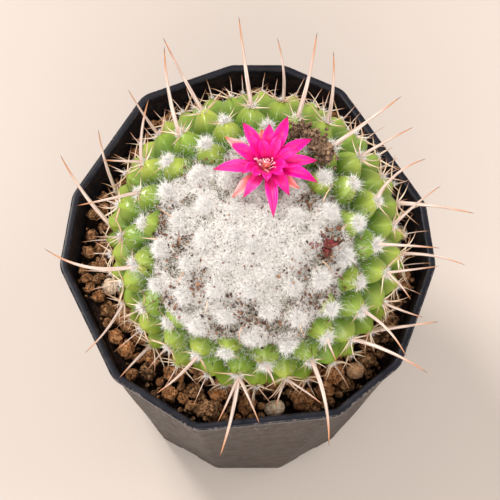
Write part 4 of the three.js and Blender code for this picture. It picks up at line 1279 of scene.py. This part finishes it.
def felt_radius(units):
    """Radius of the matted wool: high at the tufts, sinking into the furrows towards its margin."""
    bearing, polar = bearing_and_polar(units)
    nearest, distance = nearest_tuft(units)
    tuft = np.exp(-((distance / TUFTS.width) ** 2)) * TUFT_SIZE[nearest]
    edge = wool_edge(bearing) + 2.6 * grain(units * CACTUS.tip, 5.0, seed=20, octaves=2)
    filled = 1 - smoothstep(polar, 12, 28)
    # Between the tufts it is flat, filled up in the crown's middle, and sinks towards its edge.
    between = lerp(FELT.between, FELT.filled, filled) - FELT.sink * smoothstep(polar, edge - 9, edge + 2)
    surface = between + tuft * TUFTS.height + 0.3 * grain(units * CACTUS.tip, 1.1, seed=21, octaves=2)
    return lerp(surface, CACTUS.core - 1.5, smoothstep(polar, edge + 3, edge + 9))


def felt_shape():
    """The matted floor of the crown's wool, closed by a plain inner side."""
    columns = FELT.columns
    bearings = 360 * np.arange(columns) / columns
    polars = np.linspace(0.6, FELT.lowest, FELT.rows)
    units = direction(np.tile(bearings, FELT.rows), np.repeat(polars, columns))
    outer = units * felt_radius(units)[:, None]
    back_polars = np.linspace(FELT.lowest, 2, FELT.back_rows)
    back = direction(np.tile(bearings, FELT.back_rows), np.repeat(back_polars, columns))
    inside = back * FELT.inner
    ends = np.array([[0, 0, WOOL.radius - 0.4], [0, 0, FELT.inner]])
    rows = FELT.rows + FELT.back_rows
    faces = [net(rows, columns)[:, ::-1], fan(np.arange(columns), rows * columns)]
    faces.append(fan((rows - 1) * columns + np.arange(columns)[::-1], rows * columns + 1))
    hollow = np.concatenate([hollow_share(units), np.ones(len(back)), [0, 1]])
    return Shape(in_world(np.concatenate([outer, inside, ends])), faces, hollow=hollow)


def random_cap(rng, number, lowest):
    """Directions spread evenly over the cap down to a polar angle."""
    z = rng.uniform(math.cos(math.radians(lowest)), 1, number)
    turn = rng.uniform(0, 2 * np.pi, number)
    across = np.sqrt(1 - z * z)
    return np.stack([across * np.cos(turn), across * np.sin(turn), z], axis=1)


def crown_hair_shape(seed):
    """A share of the crown's short hair, which leans out from the tufts and thins in the hollows."""
    rng = np.random.default_rng(seed)
    units = random_cap(rng, HAIR.each_piece * 3, HAIR.lowest)
    felt = felt_radius(units)
    skin, _, _ = skin_at(units)
    hollow = hollow_share(units)
    keep = (felt > skin - 0.3) & (rng.random(len(units)) < lerp(1.0, 0.3, hollow))
    keep = np.flatnonzero(keep)[: HAIR.each_piece]
    units, felt, hollow = units[keep], felt[keep], hollow[keep]
    nearest, distance = nearest_tuft(units)
    outward = unit(units - AREOLES.unit[nearest] + 1e-9) * np.minimum(distance / 3, 1)[:, None]
    aims = unit(units * 0.75 + outward * 0.45 + rng.normal(0, 0.55, units.shape))
    lengths = rng.uniform(*HAIR.length, len(units))
    bows = rng.normal(0, 0.3, units.shape) * lengths[:, None] / 2
    tones = np.clip(rng.random(len(units)) * lerp(0.75, 1.1, hollow), 0, 1)
    roots = in_world(units * (felt - HAIR.root)[:, None])
    return strands(roots, aims @ LEAN.T, lengths, HAIR.radius * rng.uniform(0.7, 1.3, len(units)),
                   bows @ LEAN.T, tone=tones)


def areole_wool_shape(owners, seed):
    """The white tufts, round and full near the crown, small on the oldest tubercles."""
    rng = np.random.default_rng(seed)
    columns = []
    for n in owners:
        hairs, base, length = (np.interp(AREOLES.polar[n], PUFF.polar, row)
                               for row in (PUFF.hairs, PUFF.base, PUFF.length))
        size = TUFT_SIZE[n]
        count = int(hairs * size)
        # Each hair roots on a low dome and leans out to its side.
        axis = np.repeat(AREOLES.unit[n][None], count, axis=0)
        out = rng.random(count)
        turn = rng.uniform(0, 6.3, count)
        sideways = besides(axis, np.full(count, np.pi / 2), turn)
        upright = rng.uniform(0.0, 0.5, count)[:, None]
        aims = unit(axis * upright + sideways * (out * 0.9)[:, None] + rng.normal(0, 0.42, axis.shape))
        dome = PUFF.dome * base * (1 - out**2) * rng.uniform(-0.2, 1.0, count)
        roots = axis * (CACTUS.tip - 0.15 * base + dome)[:, None] + sideways * (out * base)[:, None]
        long_ones = np.where(rng.random(count) < PUFF.long_share, PUFF.longer, 1.0)
        lengths = length * rng.uniform(0.35, 0.9, count) * long_ones * lerp(size, 1, 0.5)
        bows = rng.normal(0, 0.34, axis.shape) * lengths[:, None] / 2
        columns.append((roots, aims, lengths, bows, rng.random(count) * 0.8))
    roots, aims, lengths, bows, tones = (np.concatenate(column) for column in zip(*columns))
    radii = PUFF.radius * rng.uniform(0.6, 1.3, len(roots))
    return strands(in_world(roots), aims @ LEAN.T, lengths, radii, bows @ LEAN.T, tone=tones)


def tuft_core_shape(owners, seed):
    """The dense middles of the tufts."""
    rng = np.random.default_rng(seed)
    size = np.interp(AREOLES.polar[owners], PUFF.polar, PUFF.base) * TUFT_SIZE[owners]
    centres = in_world(AREOLES.unit[owners] * (CACTUS.tip - PUFF.core_sink))
    core = lumps(centres, size * PUFF.core, rng, 3, rough=0.35, lump_size=0.3)
    core.marks["along"] = np.full(len(core.points), 1.0)
    return core


def stray_hair_shape():
    """Loose wool and fluff in the furrows round the crown's margin."""
    rng = np.random.default_rng(24)
    units = random_cap(rng, STRAY.number * 6, STRAY.lowest)
    bearing, polar = bearing_and_polar(units)
    beyond = polar - wool_edge(bearing)
    likely = smoothstep(beyond, -4, 2) * (1 - smoothstep(beyond, 6, 24))
    radius, furrow, _ = skin_at(units)
    likely = likely * lerp(0.25, 1.0, smoothstep(furrow, 0.5, 0.95))
    keep = np.flatnonzero(rng.random(len(units)) < likely)[: STRAY.number]
    units, radius = units[keep], radius[keep]
    aims = unit(units * 0.5 + rng.normal(0, 0.7, units.shape))
    lengths = rng.uniform(*STRAY.length, len(units))
    bows = rng.normal(0, 0.3, units.shape)
    return strands(in_world(units * (radius - 0.1)[:, None]), aims @ LEAN.T, lengths, STRAY.radius, bows,
                   tone=rng.random(len(units)))


def crumb_spots(rng):
    """Directions of the crumbs, a group at a time, and which group is the dust."""
    spots = []
    for bearing, polar, spread, number in CRUMB_PATCHES:
        middle = direction(bearing, polar)
        spots.append(unit(middle + rng.normal(0, spread / CACTUS.tip, (number, 3))))
    spots.append(random_cap(rng, *CRUMBS.loose))
    dust = random_cap(rng, *CRUMBS.dust)
    spots.append(dust[rng.random(len(dust)) < lerp(0.22, 0.55, hollow_share(dust))])
    edge = random_cap(rng, *CRUMBS.margin)
    bearing, polar = bearing_and_polar(edge)
    near = np.exp(-(((polar - wool_edge(bearing) - 1) / 5) ** 2))
    spots.append(edge[rng.random(len(edge)) < near * 0.5])
    return spots, len(CRUMB_PATCHES) + 1


def crumb_shape():
    """Dry crumbs and fine dark dust lying in the wool."""
    rng = np.random.default_rng(25)
    spots, dust = crumb_spots(rng)
    units = np.concatenate(spots)
    fine = np.concatenate([np.full(len(rows), k == dust) for k, rows in enumerate(spots)])
    skin, furrow, _ = skin_at(units)
    on_felt = felt_radius(units)
    lying = (on_felt > skin) | (furrow > 0.6)
    units, fine, skin, on_felt = units[lying], fine[lying], skin[lying], on_felt[lying]
    radius = np.where(on_felt > skin, on_felt + rng.uniform(0.1, 1.1, len(units)), skin + 0.1)
    sizes = np.where(fine, rng.uniform(0.06, 0.13, len(units)), rng.uniform(0.09, 0.3, len(units)))
    sizes = sizes * np.where(rng.random(len(units)) < 0.04, 1.8, 1)
    made = lumps(in_world(units * radius[:, None]), sizes, rng, 1, rough=0.35, lump_size=1.2,
                 squash=(0.35, 1.7))
    shade = np.where(fine, CRUMBS.dust_tone, 1.0)
    made.marks["tone"] = made.marks["tone"] * np.repeat(shade, len(made.points) // len(units))
    return made


def broken_spine_shape():
    """Short rust-brown spine ends that stick out of the wool near its margin."""
    rng = np.random.default_rng(26)
    units = random_cap(rng, BROKEN.number * 8, BROKEN.lowest)
    bearing, polar = bearing_and_polar(units)
    likely = 0.12 + np.exp(-(((polar - wool_edge(bearing) - 2) / 7) ** 2))
    units = units[rng.random(len(units)) < likely][: BROKEN.number]
    radius = np.maximum(felt_radius(units), skin_at(units)[0])
    aims = unit(units * 0.6 + rng.normal(0, 0.6, units.shape))
    lengths = rng.uniform(*BROKEN.length, len(units))
    bows = rng.normal(0, 0.15, units.shape)
    return strands(in_world(units * radius[:, None]), aims @ LEAN.T, lengths, BROKEN.radius, bows, sides=5,
                   steps=3, tone=rng.random(len(units)))


def make_wool():
    """The crown's matted wool and short hair, the tufts on the areoles, and what lies in them."""
    white = wool_finish("crown_wool", root=colour(0.90, 0.85, 0.81), tip=colour(1.0, 0.97, 0.945),
                        dull=colour(0.88, 0.79, 0.72))
    bright = wool_finish("areole_wool", root=colour(0.97, 0.935, 0.905), tip=colour(1.0, 0.98, 0.96),
                         dull=colour(0.95, 0.88, 0.83))
    piece("crown_felt", crown_felt_finish(), felt_shape(), ["crown_wool"])
    for k in range(HAIR.pieces):
        piece(f"crown_hair_{k + 1}", white, crown_hair_shape(100 + k), ["crown_wool"])
    clear = (AREOLES.off_flower > 6) & (AREOLES.height > BURIED.clear)
    groups = dict(crown=(0, 40), margin=(40, 62), outer=(62, 180))
    for k, (name, (first, last)) in enumerate(groups.items()):
        owners = np.flatnonzero(clear & (AREOLES.polar >= first) & (AREOLES.polar < last))
        node = "crown_wool" if name == "crown" else "cactus"
        piece(f"tuft_hair_{name}", bright, areole_wool_shape(owners, 22 + k), [node])
        piece(f"tuft_cores_{name}", bright, tuft_core_shape(owners, 92 + k), [node])
    piece("stray_wool", bright, stray_hair_shape(), ["cactus"])
    crumbs = crumb_finish()
    piece("wool_crumbs", crumbs, crumb_shape(), ["crown_wool"])
    piece("broken_spine_ends", crumbs, broken_spine_shape(), ["crown_wool"])


# ------------------------------------------------------------------ flower


def flower_place():
    """The flower's frame: its axis along z, from its seat on the plant."""
    turn = Vector(UP).rotation_difference(Vector(direction(FLOWER.bearing, FLOWER.axis_polar)))
    seat = Matrix.Translation(FLOWER_UNIT * (CACTUS.core + FLOWER.seat))
    plant = Matrix.Translation(CENTRE) @ Matrix.Rotation(math.radians(CACTUS.lean), 4, "X")
    return np.array(plant @ seat @ turn.to_matrix().to_4x4())


FLOWER_PLACE = flower_place()


def in_flower(points):
    """Points of the flower, from its own frame to the pot's."""
    return points @ FLOWER_PLACE[:3, :3].T + FLOWER_PLACE[:3, 3]


def petal_width(t):
    """Half of a petal's width at a share of its length, as a share of the widest."""
    rising = 0.34 + 0.66 * np.sin(np.pi / 2 * np.clip(t / 0.5, 0, 1))
    falling = (1 - np.clip((t - 0.5) / 0.5, 0, 1) ** 1.6) ** 1.05
    return np.where(t < 0.5, rising, falling)


def petal_shape(bearing, reach, layer, rng):
    """One petal: a thin blade, cupped across, with a groove along it and a pointed tip."""
    t, s = np.linspace(0, 1, PETAL.rows)[:, None], np.linspace(-1, 1, PETAL.columns)[None, :]
    # The blade goes out from the throat, rises, and droops towards its tip.
    half = layer.width / 2 * lerp(0.86, 1.03, reach / PETAL.longest) * rng.uniform(0.95, 1.06)
    out = PETAL.throat + (reach - PETAL.throat) * t
    rise = layer.rise * np.sin(np.minimum(t * 1.9, np.pi / 2))
    up = FLOWER.length + layer.root + rise - layer.droop * t**2.6
    # Cupped to its edges, grooved in the middle, twisted, and wavy along its edges.
    cup = lerp(*PETAL.cup, t) * rng.uniform(0.6, 1.4)
    side = half * petal_width(t) * s
    twist = rng.normal(0, 0.3) * t
    fold = cup * np.abs(s) ** 1.5 * petal_width(t) * half * 0.5
    lift = fold - PETAL.groove * np.exp(-((s / PETAL.groove_width) ** 2)) + twist * side
    lift = lift + PETAL.wave * np.sin(t * 9 + rng.uniform(0, 6)) * np.abs(s) ** 2
    sway = rng.normal(0, 0.7) * t**2.5
    b = math.radians(bearing)
    x = out * math.cos(b) - (side + sway) * math.sin(b)
    y = out * math.sin(b) + (side + sway) * math.cos(b)
    top = np.stack([x, y, up + lift], axis=-1)
    thickness = PETAL.thickness * (1 - 0.6 * s**2) * np.clip(6 * (1 - t), 0.15, 1)
    return Shape(
        *thin_sheet(top, thickness[..., None]), along=np.tile(np.repeat(t.ravel(), PETAL.columns), 2),
        across=np.tile(np.tile(s.ravel(), PETAL.rows), 2), tone=rng.uniform(0, 9),
        # pale: how much painted sheen the petal's veins carry
        pale=0.9 * rng.random() ** 1.6,
    )


def thin_sheet(top, thickness):
    """Points and faces of a sheet that lies under a grid of points, closed along its edge."""
    normal = np.cross(np.gradient(top, axis=0), np.gradient(top, axis=1))
    normal = normal / np.maximum(np.linalg.norm(normal, axis=-1, keepdims=True), 1e-9)
    under = top - normal * thickness
    rows, columns = top.shape[:2]
    number = np.arange(rows * columns).reshape(rows, columns)
    quads = net(rows, columns, closed=False)
    edge = np.concatenate([number[0, :-1], number[:-1, -1], number[-1, :0:-1], number[:0:-1, 0]])
    beyond = np.roll(edge, -1)
    offset = rows * columns
    rim = np.stack([edge, edge + offset, beyond + offset, beyond], axis=1)
    points = np.concatenate([top.reshape(-1, 3), under.reshape(-1, 3)])
    return points, [quads, quads[:, ::-1] + offset, rim]


def tube_shape():
    """The flower's tube and its cup."""
    profile = [(0.0, 0.0), (FLOWER.tube * 0.9, 0.0), (FLOWER.tube, 1.0), (FLOWER.tube, FLOWER.length * 0.55),
               (FLOWER.tube * 1.2, FLOWER.length * 0.8), (FLOWER.flare, FLOWER.length),
               (FLOWER.flare * 0.72, FLOWER.length + 0.5), (FLOWER.flare * 0.5, FLOWER.length + 0.1),
               (0.0, FLOWER.length - 0.2)]
    ring = np.arange(FLOWER.columns)
    turn = 2 * np.pi * ring / len(ring)
    rings = [np.stack([r * np.cos(turn), r * np.sin(turn), 0 * turn + z], axis=1) for r, z in profile[1:-1]]
    points = np.concatenate(rings + [[[0, 0, 0], [0, 0, profile[-1][1]]]])
    last = (len(rings) - 1) * len(ring)
    faces = [net(len(rings), len(ring)), fan(ring[::-1], len(points) - 2)]
    faces.append(fan(last + ring, len(points) - 1))
    marks = dict(along=0.1, across=0.0, tone=0.0, pale=0.0)
    return Shape(in_flower(points), faces, **marks)


def petals_of(layer_name, rng):
    """All the petals of a layer, each with its own bearing and reach."""
    layer = PETALS[layer_name]
    made = together([petal_shape(bearing, reach, layer, rng) for bearing, reach in layer.tips])
    made.points = in_flower(made.points)
    return made


def stamen_shapes():
    """Looping filaments round the throat, and the pollen heads on their ends."""
    rng = np.random.default_rng(51)
    number = STAMENS.count
    turn = STAMENS.turn * np.arange(number)
    out = np.sqrt((np.arange(number) + 0.5) / number)
    reach = out * STAMENS.disc
    roots = np.stack([reach * np.cos(turn), reach * np.sin(turn), 0 * out + FLOWER.length - 0.3], axis=1)
    aims = unit(roots * (1, 1, 0) * 0.35 + UP * 1.0 + rng.normal(0, 0.16, roots.shape))
    lengths = STAMENS.length * rng.uniform(0.75, 1.15, number) + 0.6
    bows = rng.normal(0, 0.35, roots.shape) * (1, 1, 0.2)
    filaments = strands(in_flower(roots), aims @ FLOWER_PLACE[:3, :3].T, lengths, STAMENS.radius,
                        bows @ FLOWER_PLACE[:3, :3].T, sides=6, steps=8, taper=0.25, tone=rng.random(number))
    ends = in_flower(roots + aims * lengths[:, None])
    heads = lumps(ends, rng.uniform(*STAMENS.head, number), rng, 2, rough=0.3, squash=(0.6, 1.3))
    return filaments, heads


def stigma_shape():
    """The stigma's lobes on their style, a small orange-red star deep in the throat."""
    rng = np.random.default_rng(52)
    number = STIGMA.lobes
    turn = 2 * np.pi * np.arange(number) / number
    roots = np.repeat([[0, 0, FLOWER.length + STIGMA.lift]], number, axis=0).astype(float)
    aims = unit(np.stack([np.cos(turn) * 0.7, np.sin(turn) * 0.7, 0 * turn + 0.8], axis=1))
    lobes = strands(in_flower(roots), aims @ FLOWER_PLACE[:3, :3].T, STIGMA.length, STIGMA.radius,
                    np.zeros((number, 3)), sides=7, steps=5, taper=0.4, tone=rng.random(number))
    foot = in_flower(np.array([[0, 0, FLOWER.length - 0.4]]))
    style = strands(foot, FLOWER_PLACE[:3, 2][None], STIGMA.style_length, STIGMA.style_radius,
                    np.zeros((1, 3)), sides=8, steps=4, taper=0.1, tone=0.5)
    return together([lobes, style])


def make_flower():
    """The open flower: three layers of petals on one tube, with the stamens and stigma in its throat."""
    rng = np.random.default_rng(50)
    # The edge colours are a painted violet sheen, and the pale colours a painted sheen along the veins.
    magenta = petal_finish("magenta_petals", middle=colour(0.80, 0.0, 0.23), edge=colour(0.86, 0.001, 0.32),
                           tip=colour(0.58, 0.0, 0.12), pale=colour(0.98, 0.26, 0.46))
    salmon = petal_finish("salmon_sepals", middle=colour(1.0, 0.20, 0.20), edge=colour(1.0, 0.42, 0.40),
                          tip=colour(0.80, 0.10, 0.03), pale=colour(1.0, 0.5, 0.5))
    for name, finish, layer in (
        ("outer_petals", magenta, "outer"), ("inner_petals", magenta, "inner"), ("sepals", salmon, "sepal"),
    ):
        petals = piece(name, finish, petals_of(layer, rng), ["flower"])
        weld(petals, PETAL.seam)
    piece("flower_tube", salmon, tube_shape(), ["flower"])
    pink = plain_tinted("pink_filaments", colour(0.97, 0.45, 0.55), colour(0.98, 0.70, 0.72), 0.5)
    cream = plain_tinted("pollen", colour(0.96, 0.62, 0.60), colour(0.95, 0.36, 0.46), 0.8)
    orange = plain_tinted("stigma", colour(0.85, 0.10, 0.05), colour(0.95, 0.30, 0.12), 0.5)
    filaments, heads = stamen_shapes()
    piece("stamen_filaments", pink, filaments, ["flower_stamens"])
    piece("pollen_heads", cream, heads, ["flower_stamens"])
    piece("stigma_star", orange, stigma_shape(), ["flower_stamens"])


# ------------------------------------------------------------------ what lies on the plant


def crumpled_petal(root, aim, length, rng):
    """A shrivelled petal: a narrow sheet, crumpled and curled."""
    t = np.linspace(0, 1, DRIED_FLOWER.rows)[:, None, None]
    s = np.linspace(-1, 1, DRIED_FLOWER.columns)[None, :, None]
    first, second = frame_about(aim[None])
    across = unit(first[0] * rng.normal() + second[0] * rng.normal())
    up = np.cross(aim, across)
    curl = rng.uniform(0.4, 1.1) * length * t**2
    width = DRIED_FLOWER.width * np.sin(np.pi * lerp(0.12, 0.95, t))
    top = root + aim * length * t * (1 - 0.2 * t) + across * width * s + up * (curl * 0.5 + 0.35 * s**2)
    top = top + 0.28 * np.stack([grain(top, 0.8, seed=k + 70, octaves=2) for k in range(3)], axis=-1)
    return Shape(*thin_sheet(top, DRIED_FLOWER.thickness))


def make_dried_flower():
    """The dry remnant of an older flower: shrivelled petals and crumbs on the wool."""
    rng = np.random.default_rng(55)
    axis = direction(DRIED_FLOWER.bearing, DRIED_FLOWER.polar)
    centre = axis * (WOOL.radius + DRIED_FLOWER.lift)
    sheets = []
    for k in range(DRIED_FLOWER.petals):
        turn = 2 * np.pi * k / DRIED_FLOWER.petals + rng.normal(0, 0.2)
        aim = besides(axis, math.radians(rng.uniform(20, 95)), turn)
        root = centre + rng.normal(0, 0.5, 3)
        sheets.append(crumpled_petal(root, aim, DRIED_FLOWER.length * rng.uniform(0.6, 1.1), rng))
    sheet = together(sheets)
    sheet.points = in_world(sheet.points)
    crimson = plain_tinted("dry_petals", colour(0.20, 0.012, 0.03), colour(0.15, 0.05, 0.03), 0.8, size=0.9)
    piece("dried_petals", crimson, sheet, ["dried_flower"])
    number = DRIED_FLOWER.crumbs
    spots = in_world(centre + rng.normal(0, 1.5, (number, 3)) * (1.0, 1.3, 0.6))
    crumbs = lumps(spots, rng.uniform(*DRIED_FLOWER.crumb, number), rng, 2, rough=0.35, squash=(0.6, 1.3))
    piece("dried_crumbs", crumb_finish(), crumbs, ["dried_flower"])


def make_clod():
    """A clod of peat: broken lumps with crumbs fallen round them."""
    rng = np.random.default_rng(56)
    peat = baked_clay("peat", dark=colour(0.09, 0.045, 0.026), warm=colour(0.36, 0.215, 0.125),
                      dusty=colour(0.58, 0.42, 0.29))
    table = np.array(CLOD)
    centres = in_world(direction(table[:, 0], table[:, 1]) * (CACTUS.core + table[:, 2:3]))
    # Broken bits along one elongated clod, as stout as it is there.
    t = rng.random(CLOD_BITS.number) * (len(table) - 1)
    row = np.arange(len(table))
    line = np.stack([np.interp(t, row, centres[:, k]) for k in range(3)], axis=1)
    stout = np.interp(t, row, table[:, 3])
    bits = line + rng.normal(0, 0.29, line.shape) * stout[:, None]
    sizes = stout * rng.uniform(*CLOD_BITS.size, len(t))
    big = lumps(bits, sizes, rng, 4, rough=0.45, lump_size=0.4, pit=0.25)
    piece("peat_lumps", peat, big, ["peat_clod"])
    number = CLOD_BITS.crumbs
    near = centres[rng.integers(0, len(centres), number)] + rng.normal(0, CLOD_BITS.scatter, (number, 3))
    units = unit((near - CENTRE) @ LEAN)
    radius = np.maximum(skin_at(units)[0] + 0.3, np.linalg.norm(near - CENTRE, axis=1) - 1.0)
    spots = in_world(units * np.minimum(radius, CACTUS.tip + 4)[:, None])
    crumbs = lumps(spots, rng.uniform(*CLOD_BITS.crumb, number), rng, 2, rough=0.3, squash=(0.6, 1.2))
    piece("peat_crumbs", peat, crumbs, ["peat_clod"])


# ------------------------------------------------------------------ floor, light and camera

CAMERA = Sizes(aim=(0.5, -0.5, 88), elevation=70.5, distance=800, focal_px=3306, frame_px=500, sensor=36)
FLOOR_RADIUS_M = 4.0
LAMPS = [  # name, place, size and power in watts
    ("window", (-560, 515, 1440), 365, 18.4),
    ("fill", (-40, -640, 720), 600, 5.0),
    ("bounce", (560, 60, 760), 500, 1.5),
]
LAMP_AIM = (0, 0, 80)
LAMP_COLOUR = (1.0, 0.97, 0.93)
SKY = Sizes(colour=(1.0, 0.965, 0.93), strength=0.86)


def make_floor():
    """A plain pale floor under the pot."""
    material, tree, shader = new_finish("pale_floor", Roughness=0.85, Specular_IOR_Level=0.2)
    soft = effect(tree, MOTTLING, Size=160.0, Contrast=1.2)["Mask"]
    tone = mixed(tree, soft, colour(0.51, 0.446, 0.403), colour(0.535, 0.471, 0.428))
    varied(tree, shader, Base_Color=tone)
    mesh = bpy.data.meshes.new("floor")
    bm = bmesh.new()
    bmesh.ops.create_circle(bm, cap_ends=True, segments=96, radius=FLOOR_RADIUS_M)
    bm.to_mesh(mesh)
    bm.free()
    floor = bpy.data.objects.new("floor", mesh)
    bpy.context.scene.collection.objects.link(floor)
    mesh.materials.append(material)


def aimed(thing, place, target):
    """Puts a lamp or camera in its place and turns it to a target."""
    thing.location = Vector(place) * MM
    thing.rotation_euler = (Vector(target) - Vector(place)).to_track_quat("-Z", "Y").to_euler()
    bpy.context.scene.collection.objects.link(thing)


def make_light():
    """Three soft lamps and an even sky."""
    for name, place, size, power in LAMPS:
        lamp = bpy.data.lights.new(name, "AREA")
        lamp.shape, lamp.size, lamp.energy = "DISK", size * MM, power
        lamp.color = LAMP_COLOUR
        aimed(bpy.data.objects.new(name, lamp), place, LAMP_AIM)
    world = bpy.data.worlds.new("studio")
    world.use_nodes = True
    sky = world.node_tree.nodes["Background"]
    sky.inputs["Color"].default_value = colour(*SKY.colour)
    sky.inputs["Strength"].default_value = SKY.strength
    bpy.context.scene.world = world
    bpy.context.scene.view_settings.view_transform = "Standard"


def make_camera():
    """The camera high in front, with the framing of the photo."""
    camera = bpy.data.cameras.new("camera")
    camera.sensor_width = CAMERA.sensor
    camera.lens = CAMERA.focal_px / CAMERA.frame_px * CAMERA.sensor
    camera.clip_start, camera.clip_end = 0.01, 20
    aim = np.array(CAMERA.aim)
    e = math.radians(CAMERA.elevation)
    place = aim + CAMERA.distance * np.array([0, -math.cos(e), math.sin(e)])
    seen = bpy.data.objects.new("camera", camera)
    aimed(seen, place, aim)
    bpy.context.scene.camera = seen


# ------------------------------------------------------------------ the whole

make_pot()
make_soil()
make_stones()
make_body()
make_spines()
make_wool()
make_flower()
make_dried_flower()
make_clod()
make_floor()
make_light()
make_camera()
